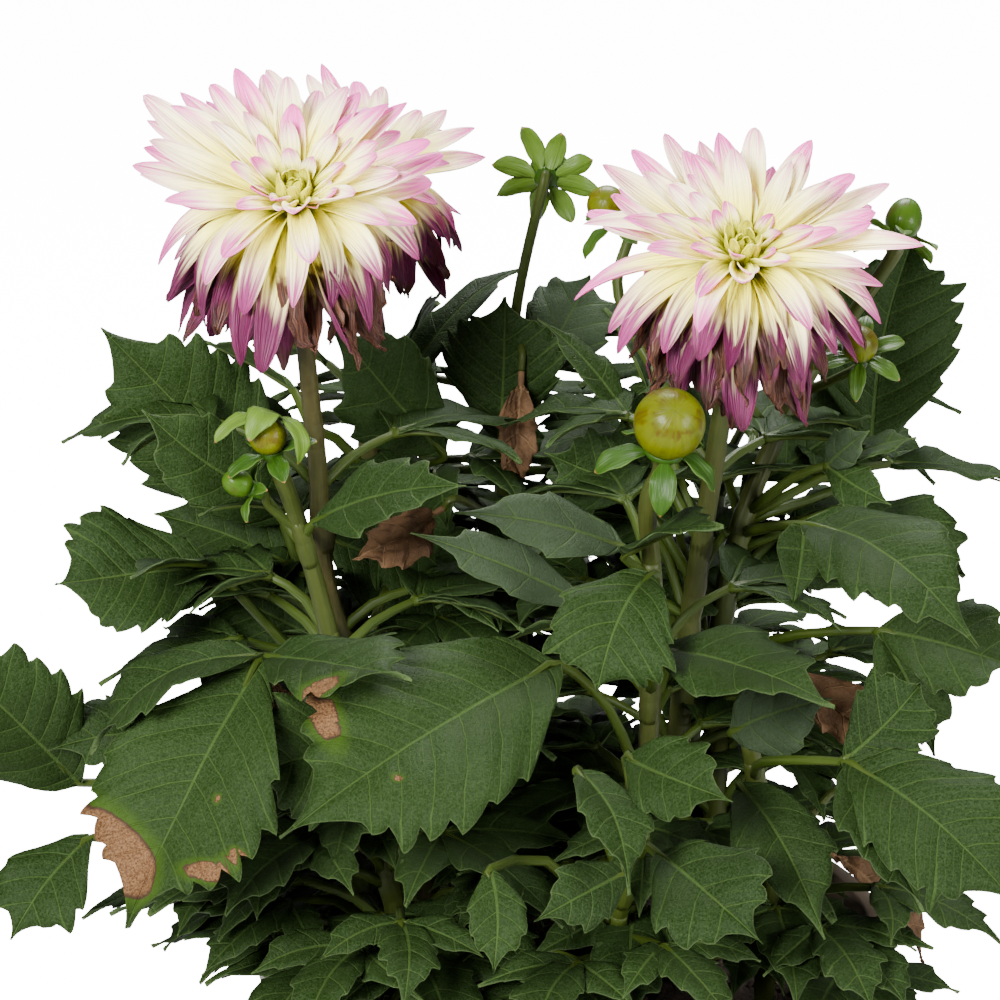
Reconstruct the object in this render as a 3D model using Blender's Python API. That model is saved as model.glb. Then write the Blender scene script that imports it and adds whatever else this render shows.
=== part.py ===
"""A potted dahlia: three blooms, their buds and leafy stems, standing in soil in a plain tapered pot.

Every length below is in millimetres and every angle in degrees. The origin is the centre of the pot's
underside, +Z is up, and the plant is seen from -Y. The points of stems and leaves are chosen by hand.
"""

import math

import bmesh
import bpy
import numpy as np

MM = 0.001

POT_HEIGHT = 160.0
POT_TOP_RADIUS = 105.0
POT_BASE_RADIUS = 77.0
POT_WALL = 2.5
POT_FLOOR = 4.0
RIM_HEIGHT = 9.0
RIM_OVERHANG = 3.5
POT_SIDES = 24
DRAIN_HOLES = 6
DRAIN_RADIUS = 5.0
DRAIN_CIRCLE = 50.0
PAST_WALL = 2.0

SOIL_EDGE_HEIGHT = 141.0
SOIL_CENTRE_HEIGHT = 146.0
SOIL_SHOULDER = 60.0
SOIL_CROWN = 20.0
STEM_FOOT = 116.0
STEM_CLEAR_OF_SOIL = 153.0
SEAT_GAP = 0.3

STEM_SIDES = 6
HOLE_SIDES = 6
PETIOLE_RADIUS = 1.5
PETIOLE_TAPER = (1.30, 0.85)
BLADE_THICKNESS = 1.4
BLADE_FOLD = 14.0
BRACT_THICKNESS = 1.2
PETAL_THICKNESS = 1.2
TOOTH_REACH = 1.08
NOTCH_REACH = 0.80
NOTCH_AFTER_TOOTH = 0.045
FIRST_TOOTH = 0.34
TOOTHED_SPAN = 0.44
LOWER_SIDE = (2, 3)

UP = np.array((0.0, 0.0, 1.0))


def vector(values):
    return np.array(values, float)


def unit(direction):
    return direction / np.linalg.norm(direction)


def sideways(direction, face):
    """The unit vector across a blade that runs along direction and turns its upper side to face."""
    across = np.cross(direction, face)
    if np.linalg.norm(across) < 1e-6:
        across = np.cross(direction, (1.0, 0.0, 0.0))
    return unit(across)


# Closed shells, each a pair of its points and its faces


def ring_shell(rings, pointed_end=None, mirrored=()):
    """A shell through rings of equally many points, closed flat at its start, and flat or pointed at its end.

    The quads that start at the ring places in mirrored are split along their other diagonal, so that a
    thin waved blade is split alike above and below.
    """
    count = len(rings[0])
    points = np.concatenate(rings)
    faces = []
    for level in range(len(rings) - 1):
        low = level * count
        for i in range(count):
            j = (i + 1) % count
            corners = (low + i, low + j, low + count + j, low + count + i)
            first = 1 if i in mirrored else 0
            faces.append(tuple(corners[(first + k) % 4] for k in (0, 1, 2)))
            faces.append(tuple(corners[(first + k) % 4] for k in (0, 2, 3)))
    faces.append(tuple(range(count))[::-1])
    last = (len(rings) - 1) * count
    if pointed_end is None:
        faces.append(tuple(range(last, last + count)))
    else:
        points = np.vstack((points, pointed_end))
        faces += [(last + i, last + (i + 1) % count, len(points) - 1) for i in range(count)]
    return points, faces


def tube(route, radii, sides):
    """A round tube along a route, with the radius given at each of its points."""
    route = vector(route)
    tangents = np.gradient(route, axis=0)
    across = sideways(unit(tangents[0]), (0.3, 1.0, 0.1))
    turns = np.arange(sides) * 2 * math.pi / sides
    rings = []
    for point, tangent, radius in zip(route, tangents, radii):
        tangent = unit(tangent)
        across = unit(across - tangent * np.dot(across, tangent))
        other = np.cross(tangent, across)
        rings.append(point + radius * (np.outer(np.cos(turns), across) + np.outer(np.sin(turns), other)))
    return ring_shell(rings)


def turned(profile, origin, axis, sides):
    """A solid of revolution about axis, from (radius, height) pairs that start and end off the axis."""
    axis = unit(vector(axis))
    across = sideways(axis, (0.2, 1.0, 0.3))
    other = np.cross(axis, across)
    turns = np.arange(sides) * 2 * math.pi / sides
    circle = np.outer(np.cos(turns), across) + np.outer(np.sin(turns), other)
    return ring_shell([vector(origin) + radius * circle + height * axis for radius, height in profile])


def lens_rings(spine, across, normal, half_widths, lifts, thickness):
    """Rings of four points for a blade whose section is a bent lens: left edge, top, right edge, bottom."""
    rings = []
    for point, up, half_width, lift in zip(spine, normal, half_widths, lifts):
        half = 0.5 * thickness * up
        left = point - across * half_width + up * lift
        right = point + across * half_width + up * lift
        rings.append(np.array((left, point + half, right, point - half)))
    return rings


def leaf_outline(teeth):
    """(place along the blade, share of its half width) pairs, with a notch after each forward tooth."""
    pairs = [(0.0, 0.07)]
    for k in range(teeth):
        at = FIRST_TOOTH + TOOTHED_SPAN * k / max(teeth - 1, 1)
        after = at + NOTCH_AFTER_TOOTH
        pairs.append((at, TOOTH_REACH * leaf_fullness(at)))
        pairs.append((after, NOTCH_REACH * leaf_fullness(after)))
    if teeth == 0:
        pairs.append((0.45, leaf_fullness(0.45)))
    return np.array(pairs)


def leaf_fullness(s):
    """The share of the half width that a leaflet has at s, 0 at its base and 1 at its tip."""
    return (s / 0.4) ** 0.8 * ((1 - s) / 0.6) ** 1.2


def blade_rings(base, tip, width, face, arch, fold, teeth, thickness):
    """The rings of a leaflet from base to tip, arched by a share of its length and folded up at its rib."""
    chord = tip - base
    length = np.linalg.norm(chord)
    across = sideways(chord, face)
    upward = unit(np.cross(across, chord))
    outline = leaf_outline(teeth)
    s = outline[:, 0]
    spine = base + np.outer(s, chord) + np.outer(4 * arch * length * s * (1 - s), upward)
    slopes = chord + np.outer(4 * arch * length * (1 - 2 * s), upward)
    normal = np.cross(across, slopes)
    normal /= np.linalg.norm(normal, axis=1)[:, None]
    half_widths = 0.5 * width * outline[:, 1]
    lifts = half_widths * math.sin(math.radians(fold))
    return lens_rings(spine, across, normal, half_widths * math.cos(math.radians(fold)), lifts, thickness)


def blade(base, tip, width, face, arch, teeth, fold=BLADE_FOLD, thickness=BLADE_THICKNESS):
    base, tip = vector(base), vector(tip)
    return ring_shell(blade_rings(base, tip, width, face, arch, fold, teeth, thickness), tip, LOWER_SIDE)


def stalk_rings(route, across):
    """Four-cornered rings along a petiole, turned so that the last meets a blade that lies along across."""
    tangents = np.gradient(vector(route), axis=0)
    radii = np.linspace(*PETIOLE_TAPER, len(route)) * PETIOLE_RADIUS
    rings = []
    for point, tangent, radius in list(zip(route, tangents, radii))[::-1]:
        tangent = unit(tangent)
        across = unit(across - tangent * np.dot(across, tangent))
        upward = np.cross(across, tangent)
        rings.append(np.array([point + radius * way for way in (-across, upward, across, -upward)]))
    return rings[:0:-1]


# Each ring of a pair of side leaflets: its place along the rib, then how far its corners reach forward
# and out, as shares of the leaflets' size
LOBE_RINGS = (
    (-5.0, 0.0, 0.02),
    (-3.0, 0.10, 0.42),
    (-1.0, 0.46, 0.84),
    (1.0, 0.42, 0.46),
    (3.0, 0.10, 0.03),
)
LOBE_HANG = 0.12


def lobe_rings(end, out, across, upward, size):
    """The rings of a pair of side leaflets on a leaf's rib, cut to the rib before and behind them."""
    rings = []
    for along, forward, reach in LOBE_RINGS:
        rib = end + along * out
        corner = size * (forward * out - LOBE_HANG * reach * upward)
        side = size * reach * across
        half = 0.5 * BLADE_THICKNESS * upward
        rings.append(np.array((rib + corner - side, rib + half, rib + corner + side, rib - half)))
    return rings


# Petals

PETAL_WIDEST = 0.62
PETAL_CLAW = 0.28
PETAL_STATIONS = (0.0, 0.45, 0.84)
PETAL_ROOT_CIRCLE = 3.0


def petal_fullness(s):
    """The share of the half width that a petal has at s, from its narrow claw at 0 to its point at 1."""
    rising = PETAL_CLAW + (1 - PETAL_CLAW) * np.sin(0.5 * math.pi * np.minimum(s / PETAL_WIDEST, 1.0)) ** 1.2
    closing = (1 - (np.maximum(s - PETAL_WIDEST, 0.0) / (1 - PETAL_WIDEST)) ** 2) ** 0.8
    return rising * closing


def petal(root, start, end, across, length, width, cup):
    """A petal that leaves root along start and bends to end, with its edges cupped towards its upper side."""
    middle = root + 0.5 * length * start
    tip = middle + 0.5 * length * end
    s = np.array(PETAL_STATIONS)[:, None]
    spine = (1 - s) ** 2 * root + 2 * s * (1 - s) * middle + s ** 2 * tip
    slopes = 2 * (1 - s) * (middle - root) + 2 * s * (tip - middle)
    normal = np.cross(across, slopes)
    normal /= np.linalg.norm(normal, axis=1)[:, None]
    half_widths = 0.5 * width * petal_fullness(s[:, 0])
    cups = np.radians(cup * (1.2 - s[:, 0]))
    widths, lifts = half_widths * np.cos(cups), half_widths * np.sin(cups)
    return ring_shell(lens_rings(spine, across, normal, widths, lifts, PETAL_THICKNESS), tip, LOWER_SIDE)


# Each layer: petals, height of their roots, tilt from the bloom's axis, length, width, further bend
# at the tip, droop, and how far the edges are cupped
BLOOM_LAYERS = (
    (6, -1.0, 12.0, 15.0, 7.5, -22.0, 0.0, 34.0),
    (7, -2.5, 36.0, 28.0, 10.5, 4.0, 0.0, 28.0),
    (9, -4.0, 56.0, 41.0, 12.5, 10.0, 0.0, 24.0),
    (10, -6.0, 74.0, 49.0, 14.0, 10.0, 0.1, 20.0),
    (10, -9.0, 104.0, 51.0, 14.0, 6.0, 1.4, 22.0),
)

# Each bloom: centre of its eye, axis that it faces along, petals kept of each layer, size, seed
BLOOMS = {
    "bloom_left": ((-86, -45, 427), (-0.05, -0.50, 0.86), 1.0, 1.0, 3),
    "bloom_right": ((51, -25, 403), (0.04, -0.52, 0.85), 1.0, 1.03, 11),
    "bloom_back": ((-68, 52, 405), (0.22, 0.10, 0.97), 0.7, 0.86, 5),
}

CORE_PROFILE = ((7.0, -14.0), (13.0, -9.0), (11.0, -2.0), (4.0, 1.5))
CORE_SIDES = 9
FEWEST_IN_LAYER = 5


def petal_plan(axis, share, seed):
    """(start, end, radial, across, layer, length share, width share) of each petal, evenly spaced in its
    layer with a seeded scatter.
    """
    draw = np.random.default_rng(seed)
    axis = unit(vector(axis))
    level = sideways(axis, (0.0, 1.0, 0.0))
    front = np.cross(axis, level)
    plan = []
    for layer, (count, height, tilt, length, width, bend, droop, cup) in enumerate(BLOOM_LAYERS):
        kept = max(FEWEST_IN_LAYER, round(count * share))
        for k in range(kept):
            scatter = draw.uniform(-1.0, 1.0, 4)
            turn = 2 * math.pi * (k + 0.5 * (layer % 2) + 0.12 * scatter[0]) / kept
            radial = math.cos(turn) * level + math.sin(turn) * front
            lean = math.radians(tilt + 4.0 * scatter[1])
            start = math.sin(lean) * radial + math.cos(lean) * axis
            bent = lean + math.radians(bend)
            end = unit(math.sin(bent) * radial + math.cos(bent) * axis - droop * UP)
            across = np.cross(radial, axis)
            plan.append((start, end, radial, across, layer, 1 + 0.07 * scatter[2], 1 + 0.06 * scatter[3]))
    return plan


def bloom_shells(name):
    centre, axis, share, size, seed = BLOOMS[name]
    centre, axis = vector(centre), unit(vector(axis))
    shells = [turned(np.multiply(CORE_PROFILE, size), centre, axis, CORE_SIDES)]
    for start, end, radial, across, layer, longer, wider in petal_plan(axis, share, seed):
        height, length, width, cup = (BLOOM_LAYERS[layer][i] for i in (1, 3, 4, 7))
        root = centre + size * (height * axis + PETAL_ROOT_CIRCLE * radial)
        length, width = size * longer * length, size * wider * width
        shells.append(petal(root, start, end, across, length, width, cup))
    return shells


# Buds

# Each bud: centre of its ball, radius, axis, outer bracts, their length, width and angle from the axis
BUDS = {
    "bud_front": ((27, -70, 361), 11.0, (0.12, -0.35, 0.93), 5, 15.0, 7.5, 118.0),
    "bud_left": ((-94, -70, 357), 5.8, (-0.20, -0.35, 0.90), 5, 12.0, 7.0, 92.0),
    "bud_right": ((89, -8, 366), 5.8, (-0.10, -0.60, 0.75), 6, 12.0, 6.0, 92.0),
    "bud_opening": ((10, 24, 402), 6.5, (-0.55, -0.30, 0.78), 5, 13.0, 6.5, 98.0),
    "green_bud_back": ((-8, 58, 404), 6.5, (0.15, 0.62, 0.77), 8, 14.0, 6.5, 108.0),
    "green_bud_side": ((-103, -68, 341), 4.2, (-0.80, -0.30, 0.45), 4, 8.0, 4.0, 88.0),
    "green_bud_behind": ((106, 40, 392), 6.0, (0.30, 0.55, 0.78), 6, 13.0, 6.0, 105.0),
}

SEAT_RADIUS_SHARE = 0.62
BALL_SIDES = 9
GREEN_BALL_SIDES = 8
GREEN_BALL_SINK = 0.9
RECEPTACLE_DEPTH = 4.5
RECEPTACLE_NECK = 2.0
RECEPTACLE_SIDES = 8


def bud_seat(name):
    """The point and axis where a bud's ball sits on its receptacle."""
    centre, radius, axis = (BUDS[name][i] for i in (0, 1, 2))
    axis = unit(vector(axis))
    return vector(centre) - radius * math.sqrt(1 - SEAT_RADIUS_SHARE ** 2) * axis, axis


def ball_shell(name, sides=BALL_SIDES):
    """A bud's ball with a flat foot on its seat."""
    centre, radius, axis = (BUDS[name][i] for i in (0, 1, 2))
    lowest = math.asin(SEAT_RADIUS_SHARE)
    angles = np.linspace(math.pi - lowest, 0.16 * math.pi, 5)
    profile = [(radius * math.sin(a), radius * math.cos(a)) for a in angles]
    profile.append((0.12 * radius, radius))
    return turned(profile, centre, axis, sides)


def bud_holder_shells(name):
    """The green receptacle below a bud's ball and the bracts that spring from its edge."""
    radius, count, length, width, lean = (BUDS[name][i] for i in (1, 3, 4, 5, 6))
    seat, axis = bud_seat(name)
    wide = SEAT_RADIUS_SHARE * radius
    top = seat - SEAT_GAP * axis
    profile = ((RECEPTACLE_NECK, -RECEPTACLE_DEPTH), (1.1 * wide, -2.0), (wide, 0.0))
    shells = [turned(profile, top, axis, RECEPTACLE_SIDES)]
    level = sideways(axis, (0.0, 1.0, 0.0))
    front = np.cross(axis, level)
    for k in range(count):
        turn = 2 * math.pi * (k + 0.3) / count
        radial = math.cos(turn) * level + math.sin(turn) * front
        angle = math.radians(lean)
        base = top + 0.8 * wide * radial - 2.0 * axis
        tip = base + length * (math.sin(angle) * radial + math.cos(angle) * axis)
        shells.append(blade(base, tip, width, axis, 0.12, 0, fold=10.0, thickness=BRACT_THICKNESS))
    return shells


# Stems and leaves

FACE_LEFT = (-0.35, -0.55, 0.75)
FACE_RIGHT = (0.35, -0.55, 0.75)
FACE_VIEW = (0.0, -0.85, 0.5)
FACE_SKY = (0.0, -0.15, 1.0)
FACE_BACK = (0.0, 0.5, 0.85)
FACE_DOWN_VIEW = (0.2, -0.9, 0.2)

# Each stem: its route, as its foot's (x, y, radius) and then (x, y, z, radius), and the bloom or bud
# that it ends in. Each branch: its height on the stem, its route and its bud. Each leaf: its height on
# the stem, petiole points, then leaflets, each with its tip, width, the way it faces, its arch and its
# teeth. A leaflet grows from the petiole's last point. Each spray is a simpler leaf: its height on the
# stem, the azimuth it points to, the reach and rise of its petiole, and its size.
STEMS = {
    "leafy_stem_bud_left": {
        "route": ((-52, -44, 3.4), (-58, -45, 190, 3.4), (-76, -50, 280, 3.0), (-85, -58, 322, 2.7)),
        "ends": ("bud_left",),
        "branches": ((322, ((-94, -62, 331, 1.4),), "green_bud_side"),),
        "leaves": (
            (320, ((-81, -62, 326),), (((-34, -95, 350), 24, FACE_LEFT, 0.06, 2),)),
            (316, ((-97, -48, 330),), (((-132, -66, 364), 27, FACE_VIEW, 0.02, 3),)),
            (
                246,
                ((-82, -62, 272), (-96, -75, 287)),
                (
                    ((-136, -126, 220), 58, (-0.25, -0.70, 0.65), 0.10, 4),
                    ((-148, -92, 262), 30, (-0.45, -0.30, 0.85), 0.20, 3),
                    ((-50, -118, 297), 38, FACE_RIGHT, 0.05, 3),
                ),
            ),
            (232, ((-62, -72, 258),), (((-100, -98, 258), 38, FACE_VIEW, 0.10, 3),)),
        ),
        "sprays": ((166, 250, 40, 26, 46), (196, 205, 38, 16, 44), (178, 272, 44, 26, 40)),
    },
    "leafy_stem_bloom_left": {
        "route": (
            (-42, -14, 3.6),
            (-56, -20, 215, 3.5),
            (-78, -25, 288, 3.2),
            (-81, -30, 335, 3.0),
            (-84, -38, 380, 2.8),
        ),
        "ends": ("bloom_left",),
        "leaves": (
            (256, ((-86, -8, 285), (-94, 8, 300)), (((-149, -10, 372), 48, (-0.1, -0.85, 0.5), 0.05, 4),)),
            (
                236,
                ((-95, -26, 275), (-114, -32, 300)),
                (
                    ((-161, -60, 305), 44, (-0.1, -0.75, 0.65), 0.04, 4),
                    ((-136, -78, 314), 17, FACE_LEFT, 0.06, 2),
                ),
            ),
            (310, ((-73, -8, 316),), (((-44, 0, 288), 36, (0.1, -0.8, 0.6), 0.10, 3),)),
            (345, ((-88, -20, 354),), (((-118, -6, 366), 22, FACE_BACK, 0.05, 2),)),
        ),
        "sprays": ((206, 165, 36, 40, 40),),
    },
    "leafy_stem_bloom_back": {
        "route": ((-32, 26, 3.4), (-48, 30, 220, 3.3), (-67, 35, 309, 3.0), (-64, 42, 355, 2.8)),
        "ends": ("bloom_back",),
        "leaves": (
            (296, ((-52, 26, 312), (-42, 16, 320)), (((-78, -2, 372), 34, FACE_VIEW, 0.05, 3),)),
            (312, ((-57, 42, 330),), (((-15, 76, 366), 15, FACE_SKY, 0.15, 2),)),
            (320, ((-57, 55, 337),), (((-44, 86, 350), 28, (0.0, 0.8, 0.5), 0.06, 3),)),
            (330, ((-80, 50, 340),), (((-114, 56, 352), 26, FACE_BACK, 0.06, 3),)),
        ),
        "sprays": ((205, 165, 40, 34, 52), (262, 120, 34, 26, 46), (250, 200, 30, 26, 40)),
    },
    "leafy_stem_bud_back": {
        "route": ((-8, 38, 3.2), (-14, 42, 215, 3.1), (-23, 46, 300, 2.9), (-19, 50, 357, 2.5)),
        "ends": ("green_bud_back",),
        "leaves": (
            (300, ((-24, 36, 318),), (((-22, 42, 366), 40, (0.0, -0.9, 0.4), 0.03, 4),)),
            (310, ((-14, 50, 334),), (((6, 70, 364), 30, (-0.1, -0.9, 0.4), 0.05, 3),)),
        ),
        "sprays": ((235, 75, 34, 32, 52), (262, 20, 30, 22, 40)),
    },
    "leafy_stem_bud_front": {
        "route": ((18, -30, 3.4), (22, -38, 220, 3.3), (24, -46, 290, 3.0), (21, -60, 330, 2.8)),
        "ends": ("bud_front",),
        "leaves": (
            (296, ((24, -60, 308), (22, -70, 312)), (((5, -101, 286), 38, (-0.25, -0.8, 0.5), 0.22, 3),)),
            (304, ((14, -60, 314),), (((43, -88, 334), 26, FACE_SKY, 0.08, 2),)),
            (284, ((8, -46, 290), (1, -50, 295)), (((-51, -76, 328), 18, FACE_LEFT, 0.03, 2),)),
            (300, ((15, -42, 310),), (((-38, -58, 328), 20, FACE_LEFT, 0.06, 2),)),
            (225, ((10, -56, 262), (-6, -68, 282)), (((-89, -136, 254), 68, (-0.15, -0.7, 0.7), 0.08, 4),)),
            (262, ((24, -62, 282), (24, -74, 289)), (((75, -121, 290), 34, (0.1, -0.6, 0.8), 0.08, 3),)),
        ),
        "sprays": ((182, 222, 34, 24, 44),),
    },
    "leafy_stem_bloom_right": {
        "route": ((31, -4, 3.6), (33, -6, 215, 3.6), (37, -10, 274, 3.4), (45, -15, 340, 3.2)),
        "ends": ("bloom_right",),
        "branches": ((322, ((30, 10, 342, 2.0), (14, 24, 372, 1.8)), "bud_opening"),),
        "leaves": (
            (300, ((25, 4, 325), (17, 10, 334)), (((-12, 24, 364), 13, (0.3, -0.6, 0.7), 0.10, 2),)),
            (300, ((28, 15, 330),), (((10, 42, 362), 20, FACE_BACK, 0.05, 2),)),
            (286, ((20, 8, 312),), (((-10, -8, 330), 26, FACE_VIEW, 0.05, 3),)),
        ),
        "sprays": ((222, 150, 22, 30, 36),),
    },
    "leafy_stem_right": {
        "route": (
            (47, 7, 3.9),
            (47, 6, 215, 3.8),
            (48, 6, 268, 3.6),
            (55, 11, 302, 3.3),
            (72, 26, 338, 2.9),
            (90, 35, 362, 2.4),
        ),
        "ends": ("green_bud_behind",),
        "branches": ((338, ((82, 10, 348, 1.6),), "bud_right"),),
        "leaves": (
            (
                296,
                ((64, -8, 305), (71, -34, 315)),
                (
                    ((120, -90, 296), 40, (0.2, -0.6, 0.8), 0.15, 3),
                    ((67, -50, 294), 17, (0.0, -0.9, 0.3), 0.05, 0),
                ),
            ),
            (300, ((86, 32, 303), (98, 40, 310)), (((113, 60, 386), 50, (0.0, -0.9, 0.4), 0.03, 4),)),
            (300, ((80, 18, 312), (101, 20, 316)), (((150, 30, 303), 26, FACE_SKY, 0.06, 2),)),
            (
                255,
                ((72, -18, 272), (95, -30, 278)),
                (
                    ((140, -52, 273), 34, (0.0, -0.7, 0.7), 0.05, 3),
                    ((112, -56, 246), 24, (0.3, -0.8, 0.4), 0.08, 2),
                ),
            ),
            (
                302,
                ((70, 2, 318), (80, -4, 324)),
                (
                    ((108, -6, 334), 14, FACE_SKY, 0.05, 2),
                    ((92, -16, 340), 12, FACE_VIEW, 0.05, 2),
                    ((99, -24, 318), 14, FACE_VIEW, 0.08, 2),
                ),
            ),
            (290, ((84, 10, 304),), (((124, -10, 288), 34, FACE_RIGHT, 0.10, 3),)),
        ),
        "sprays": ((214, 20, 40, 36, 46), (186, 52, 44, 26, 46)),
    },
    "leafy_stem_low_right": {
        "route": ((62, -32, 3.4), (62, -38, 205, 3.2), (54, -50, 250, 2.8)),
        "ends": (),
        "leaves": (
            (
                235,
                ((58, -74, 252), (80, -95, 261)),
                (
                    ((128, -136, 234), 46, (0.1, -0.6, 0.8), 0.12, 4),
                    ((102, -131, 228), 24, (0.1, -0.8, 0.5), 0.08, 3),
                    ((104, -84, 282), 26, FACE_VIEW, 0.08, 3),
                ),
            ),
            (225, ((50, -72, 244),), (((74, -121, 214), 28, (0.0, -0.8, 0.6), 0.12, 3),)),
            (249, ((48, -56, 254),), (((78, -76, 274), 30, FACE_VIEW, 0.06, 3),)),
        ),
        "sprays": ((180, 330, 38, 20, 44), (170, 290, 40, 24, 42), (174, 4, 38, 16, 42)),
    },
    "leafy_stem_front": {
        "route": ((8, -62, 3.2), (12, -74, 195, 3.0), (19, -94, 236, 2.8)),
        "ends": (),
        "leaves": (
            (234, ((24, -103, 234),), (((54, -141, 222), 38, (0.2, -0.7, 0.7), 0.10, 3),)),
            (212, ((2, -90, 252), (-1, -100, 260)), (((14, -141, 238), 22, FACE_RIGHT, 0.12, 3),)),
            (232, ((14, -112, 232),), (((-14, -142, 230), 20, FACE_VIEW, 0.10, 3),)),
            (196, ((-10, -95, 228), (-27, -118, 236)), (((-26, -140, 212), 18, FACE_VIEW, 0.12, 3),)),
            (235, ((14, -94, 262),), (((45, -127, 262), 26, FACE_VIEW, 0.10, 3),)),
        ),
        "sprays": ((176, 250, 30, 18, 42), (186, 300, 30, 14, 40)),
    },
    "leafy_stem_low_left": {
        "route": ((-62, -16, 3.2), (-72, -20, 190, 3.0), (-96, -28, 228, 2.6)),
        "ends": (),
        "leaves": (
            (
                222,
                ((-130, -34, 228), (-158, -40, 230)),
                (((-200, -66, 290), 42, (-0.2, -0.8, 0.5), 0.05, 3),),
            ),
            (212, ((-128, -50, 214), (-152, -60, 220)), (((-176, -84, 196), 30, FACE_LEFT, 0.12, 3),)),
            (224, ((-126, -30, 240),), (((-166, -52, 246), 28, FACE_LEFT, 0.16, 3),)),
        ),
        "sprays": ((176, 190, 44, 14, 48), (170, 232, 40, 22, 42)),
    },
    "leafy_stem_back_left": {
        "route": ((-38, 60, 3.2), (-50, 74, 230, 3.0), (-56, 84, 290, 2.2)),
        "ends": (),
        "leaves": (),
        "sprays": (
            (180, 100, 42, 24, 52),
            (190, 150, 40, 30, 48),
            (240, 90, 30, 30, 46),
            (286, 130, 18, 26, 42),
        ),
    },
    "leafy_stem_back_right": {
        "route": ((34, 58, 3.2), (46, 70, 230, 3.0), (50, 78, 285, 2.2)),
        "ends": (),
        "leaves": (),
        "sprays": (
            (180, 80, 42, 24, 52),
            (190, 30, 42, 30, 48),
            (240, 85, 30, 30, 46),
            (282, 50, 18, 26, 42),
        ),
    },
}


def stem_route(name):
    """The points and radii of a stem, which stands upright where it passes through the soil."""
    first, *rest = STEMS[name]["route"]
    x, y, radius = first
    rows = [(x, y, STEM_FOOT, radius), (x, y, STEM_CLEAR_OF_SOIL, radius), *rest]
    for end in STEMS[name]["ends"]:
        rows += [(*point, rest[-1][3]) for point in holder_points(end)]
    rows = vector(rows)
    return rows[:, :3], rows[:, 3]


STRAIGHT_BELOW_HOLDER = 11.0
INTO_HOLDER = 2.0
CALYX_PROFILE = ((2.5, -6.0), (6.0, -4.0), (7.0, 0.0))
BRANCH_SIDES = 6
LEAFLET_OVERLAP = 1.2


def bloom_seat(name):
    """The point and axis where a bloom's core sits on its calyx."""
    centre, axis, size = (BLOOMS[name][i] for i in (0, 1, 3))
    axis = unit(vector(axis))
    return vector(centre) + size * CORE_PROFILE[0][1] * axis, axis


def holder_points(name):
    """Two points that bring a stem straight into the underside of a bloom's or a bud's receptacle."""
    seat, axis = bloom_seat(name) if name in BLOOMS else bud_seat(name)
    return seat - STRAIGHT_BELOW_HOLDER * axis, seat - INTO_HOLDER * axis


def calyx_shells(name):
    """The green cup that a bloom's core sits on."""
    seat, axis = bloom_seat(name)
    return [turned(CALYX_PROFILE, seat - SEAT_GAP * axis, axis, RECEPTACLE_SIDES)]


def end_shells(name):
    if name in BLOOMS:
        return calyx_shells(name)
    if name.startswith("green"):
        return bud_holder_shells(name) + [green_ball_shell(name)]
    return bud_holder_shells(name)


def green_ball_shell(name):
    """A closed green bud, sunk a little into its receptacle so that the two are one body."""
    points, faces = ball_shell(name, GREEN_BALL_SIDES)
    axis = unit(vector(BUDS[name][2]))
    return points - GREEN_BALL_SINK * axis, faces


def on_stem(points, height):
    return np.array([np.interp(height, points[:, 2], points[:, i]) for i in range(3)])


def leaf_shells(start, petiole, leaflets):
    """A leaf whose petiole runs from start through its points: its first leaflet goes straight on from it."""
    route = [start, *(vector(point) for point in petiole)]
    end = route[-1]
    shells = []
    for tip, width, face, arch, teeth in leaflets:
        tip = vector(tip)
        if shells:
            base = end - LEAFLET_OVERLAP * unit(tip - end)
            shells.append(blade(base, tip, width, face, arch, teeth))
        else:
            rings = blade_rings(end, tip, width, face, arch, BLADE_FOLD, teeth, BLADE_THICKNESS)
            stalk = stalk_rings([*route, tip], sideways(tip - end, face))[:-1]
            shells.append(ring_shell(stalk + rings, tip, LOWER_SIDE))
    return shells


SPRAY_DROOP = 0.22
SPRAY_WIDTH = 0.5
SPRAY_LOBES = 0.66
SPRAY_ARCH = 0.10
SPRAY_TEETH = 2
LOBES_TO_BLADE = 5.0


def spray_shell(start, azimuth, reach, lift, size):
    """A leaf of three leaflets that follows from the way it points, for the plant's inside and back."""
    turn = math.radians(azimuth)
    out = vector((math.cos(turn), math.sin(turn), 0.0))
    end = start + reach * out + lift * UP
    route = [start, start + 0.45 * reach * out + 0.7 * lift * UP, end]
    tip = end + size * (out - SPRAY_DROOP * UP)
    face = out * 0.4 + UP
    across = sideways(out, face)
    upward = np.cross(across, out)
    base, width = end + LOBES_TO_BLADE * out, SPRAY_WIDTH * size
    rings = stalk_rings([*route, tip], across)[:-1]
    rings += lobe_rings(end, out, across, upward, SPRAY_LOBES * size)
    rings += blade_rings(base, tip, width, face, SPRAY_ARCH, BLADE_FOLD, SPRAY_TEETH, BLADE_THICKNESS)[1:]
    return ring_shell(rings, tip, LOWER_SIDE)


# Each withered leaf: its stem, height there, the end of its green stalk, its own tip, width and face
WITHERED = {
    "withered_leaf_left": ("leafy_stem_bud_back", 285, (-42, -16, 314), (-70, -42, 306), 20, FACE_DOWN_VIEW),
    "withered_leaf_right": ("leafy_stem_right", 250, (66, -24, 262), (104, -48, 240), 22, (0.3, -0.8, 0.3)),
    "withered_leaf_back": ("leafy_stem_bud_back", 352, (-17, 32, 344), (-18, 16, 308), 15, (0.0, -0.9, 0.1)),
    "withered_leaf_low_left": ("leafy_stem_bud_left", 228, (-86, -44, 262), (-110, -54, 266), 16, FACE_VIEW),
    "withered_leaf_low_right": ("leafy_stem_low_right", 196, (88, -30, 218), (114, -36, 206), 16, FACE_VIEW),
    "withered_leaf_rim": ("leafy_stem_right", 178, (84, 2, 188), (117, -8, 150), 18, (0.6, -0.5, 0.6)),
}
WITHERED_FOLD = 38.0
WITHERED_STALK = 6.0
WITHERED_STALK_SIDES = 5
STALK_RADII = (1.6, 1.3, 1.2, 1.0)


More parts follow.
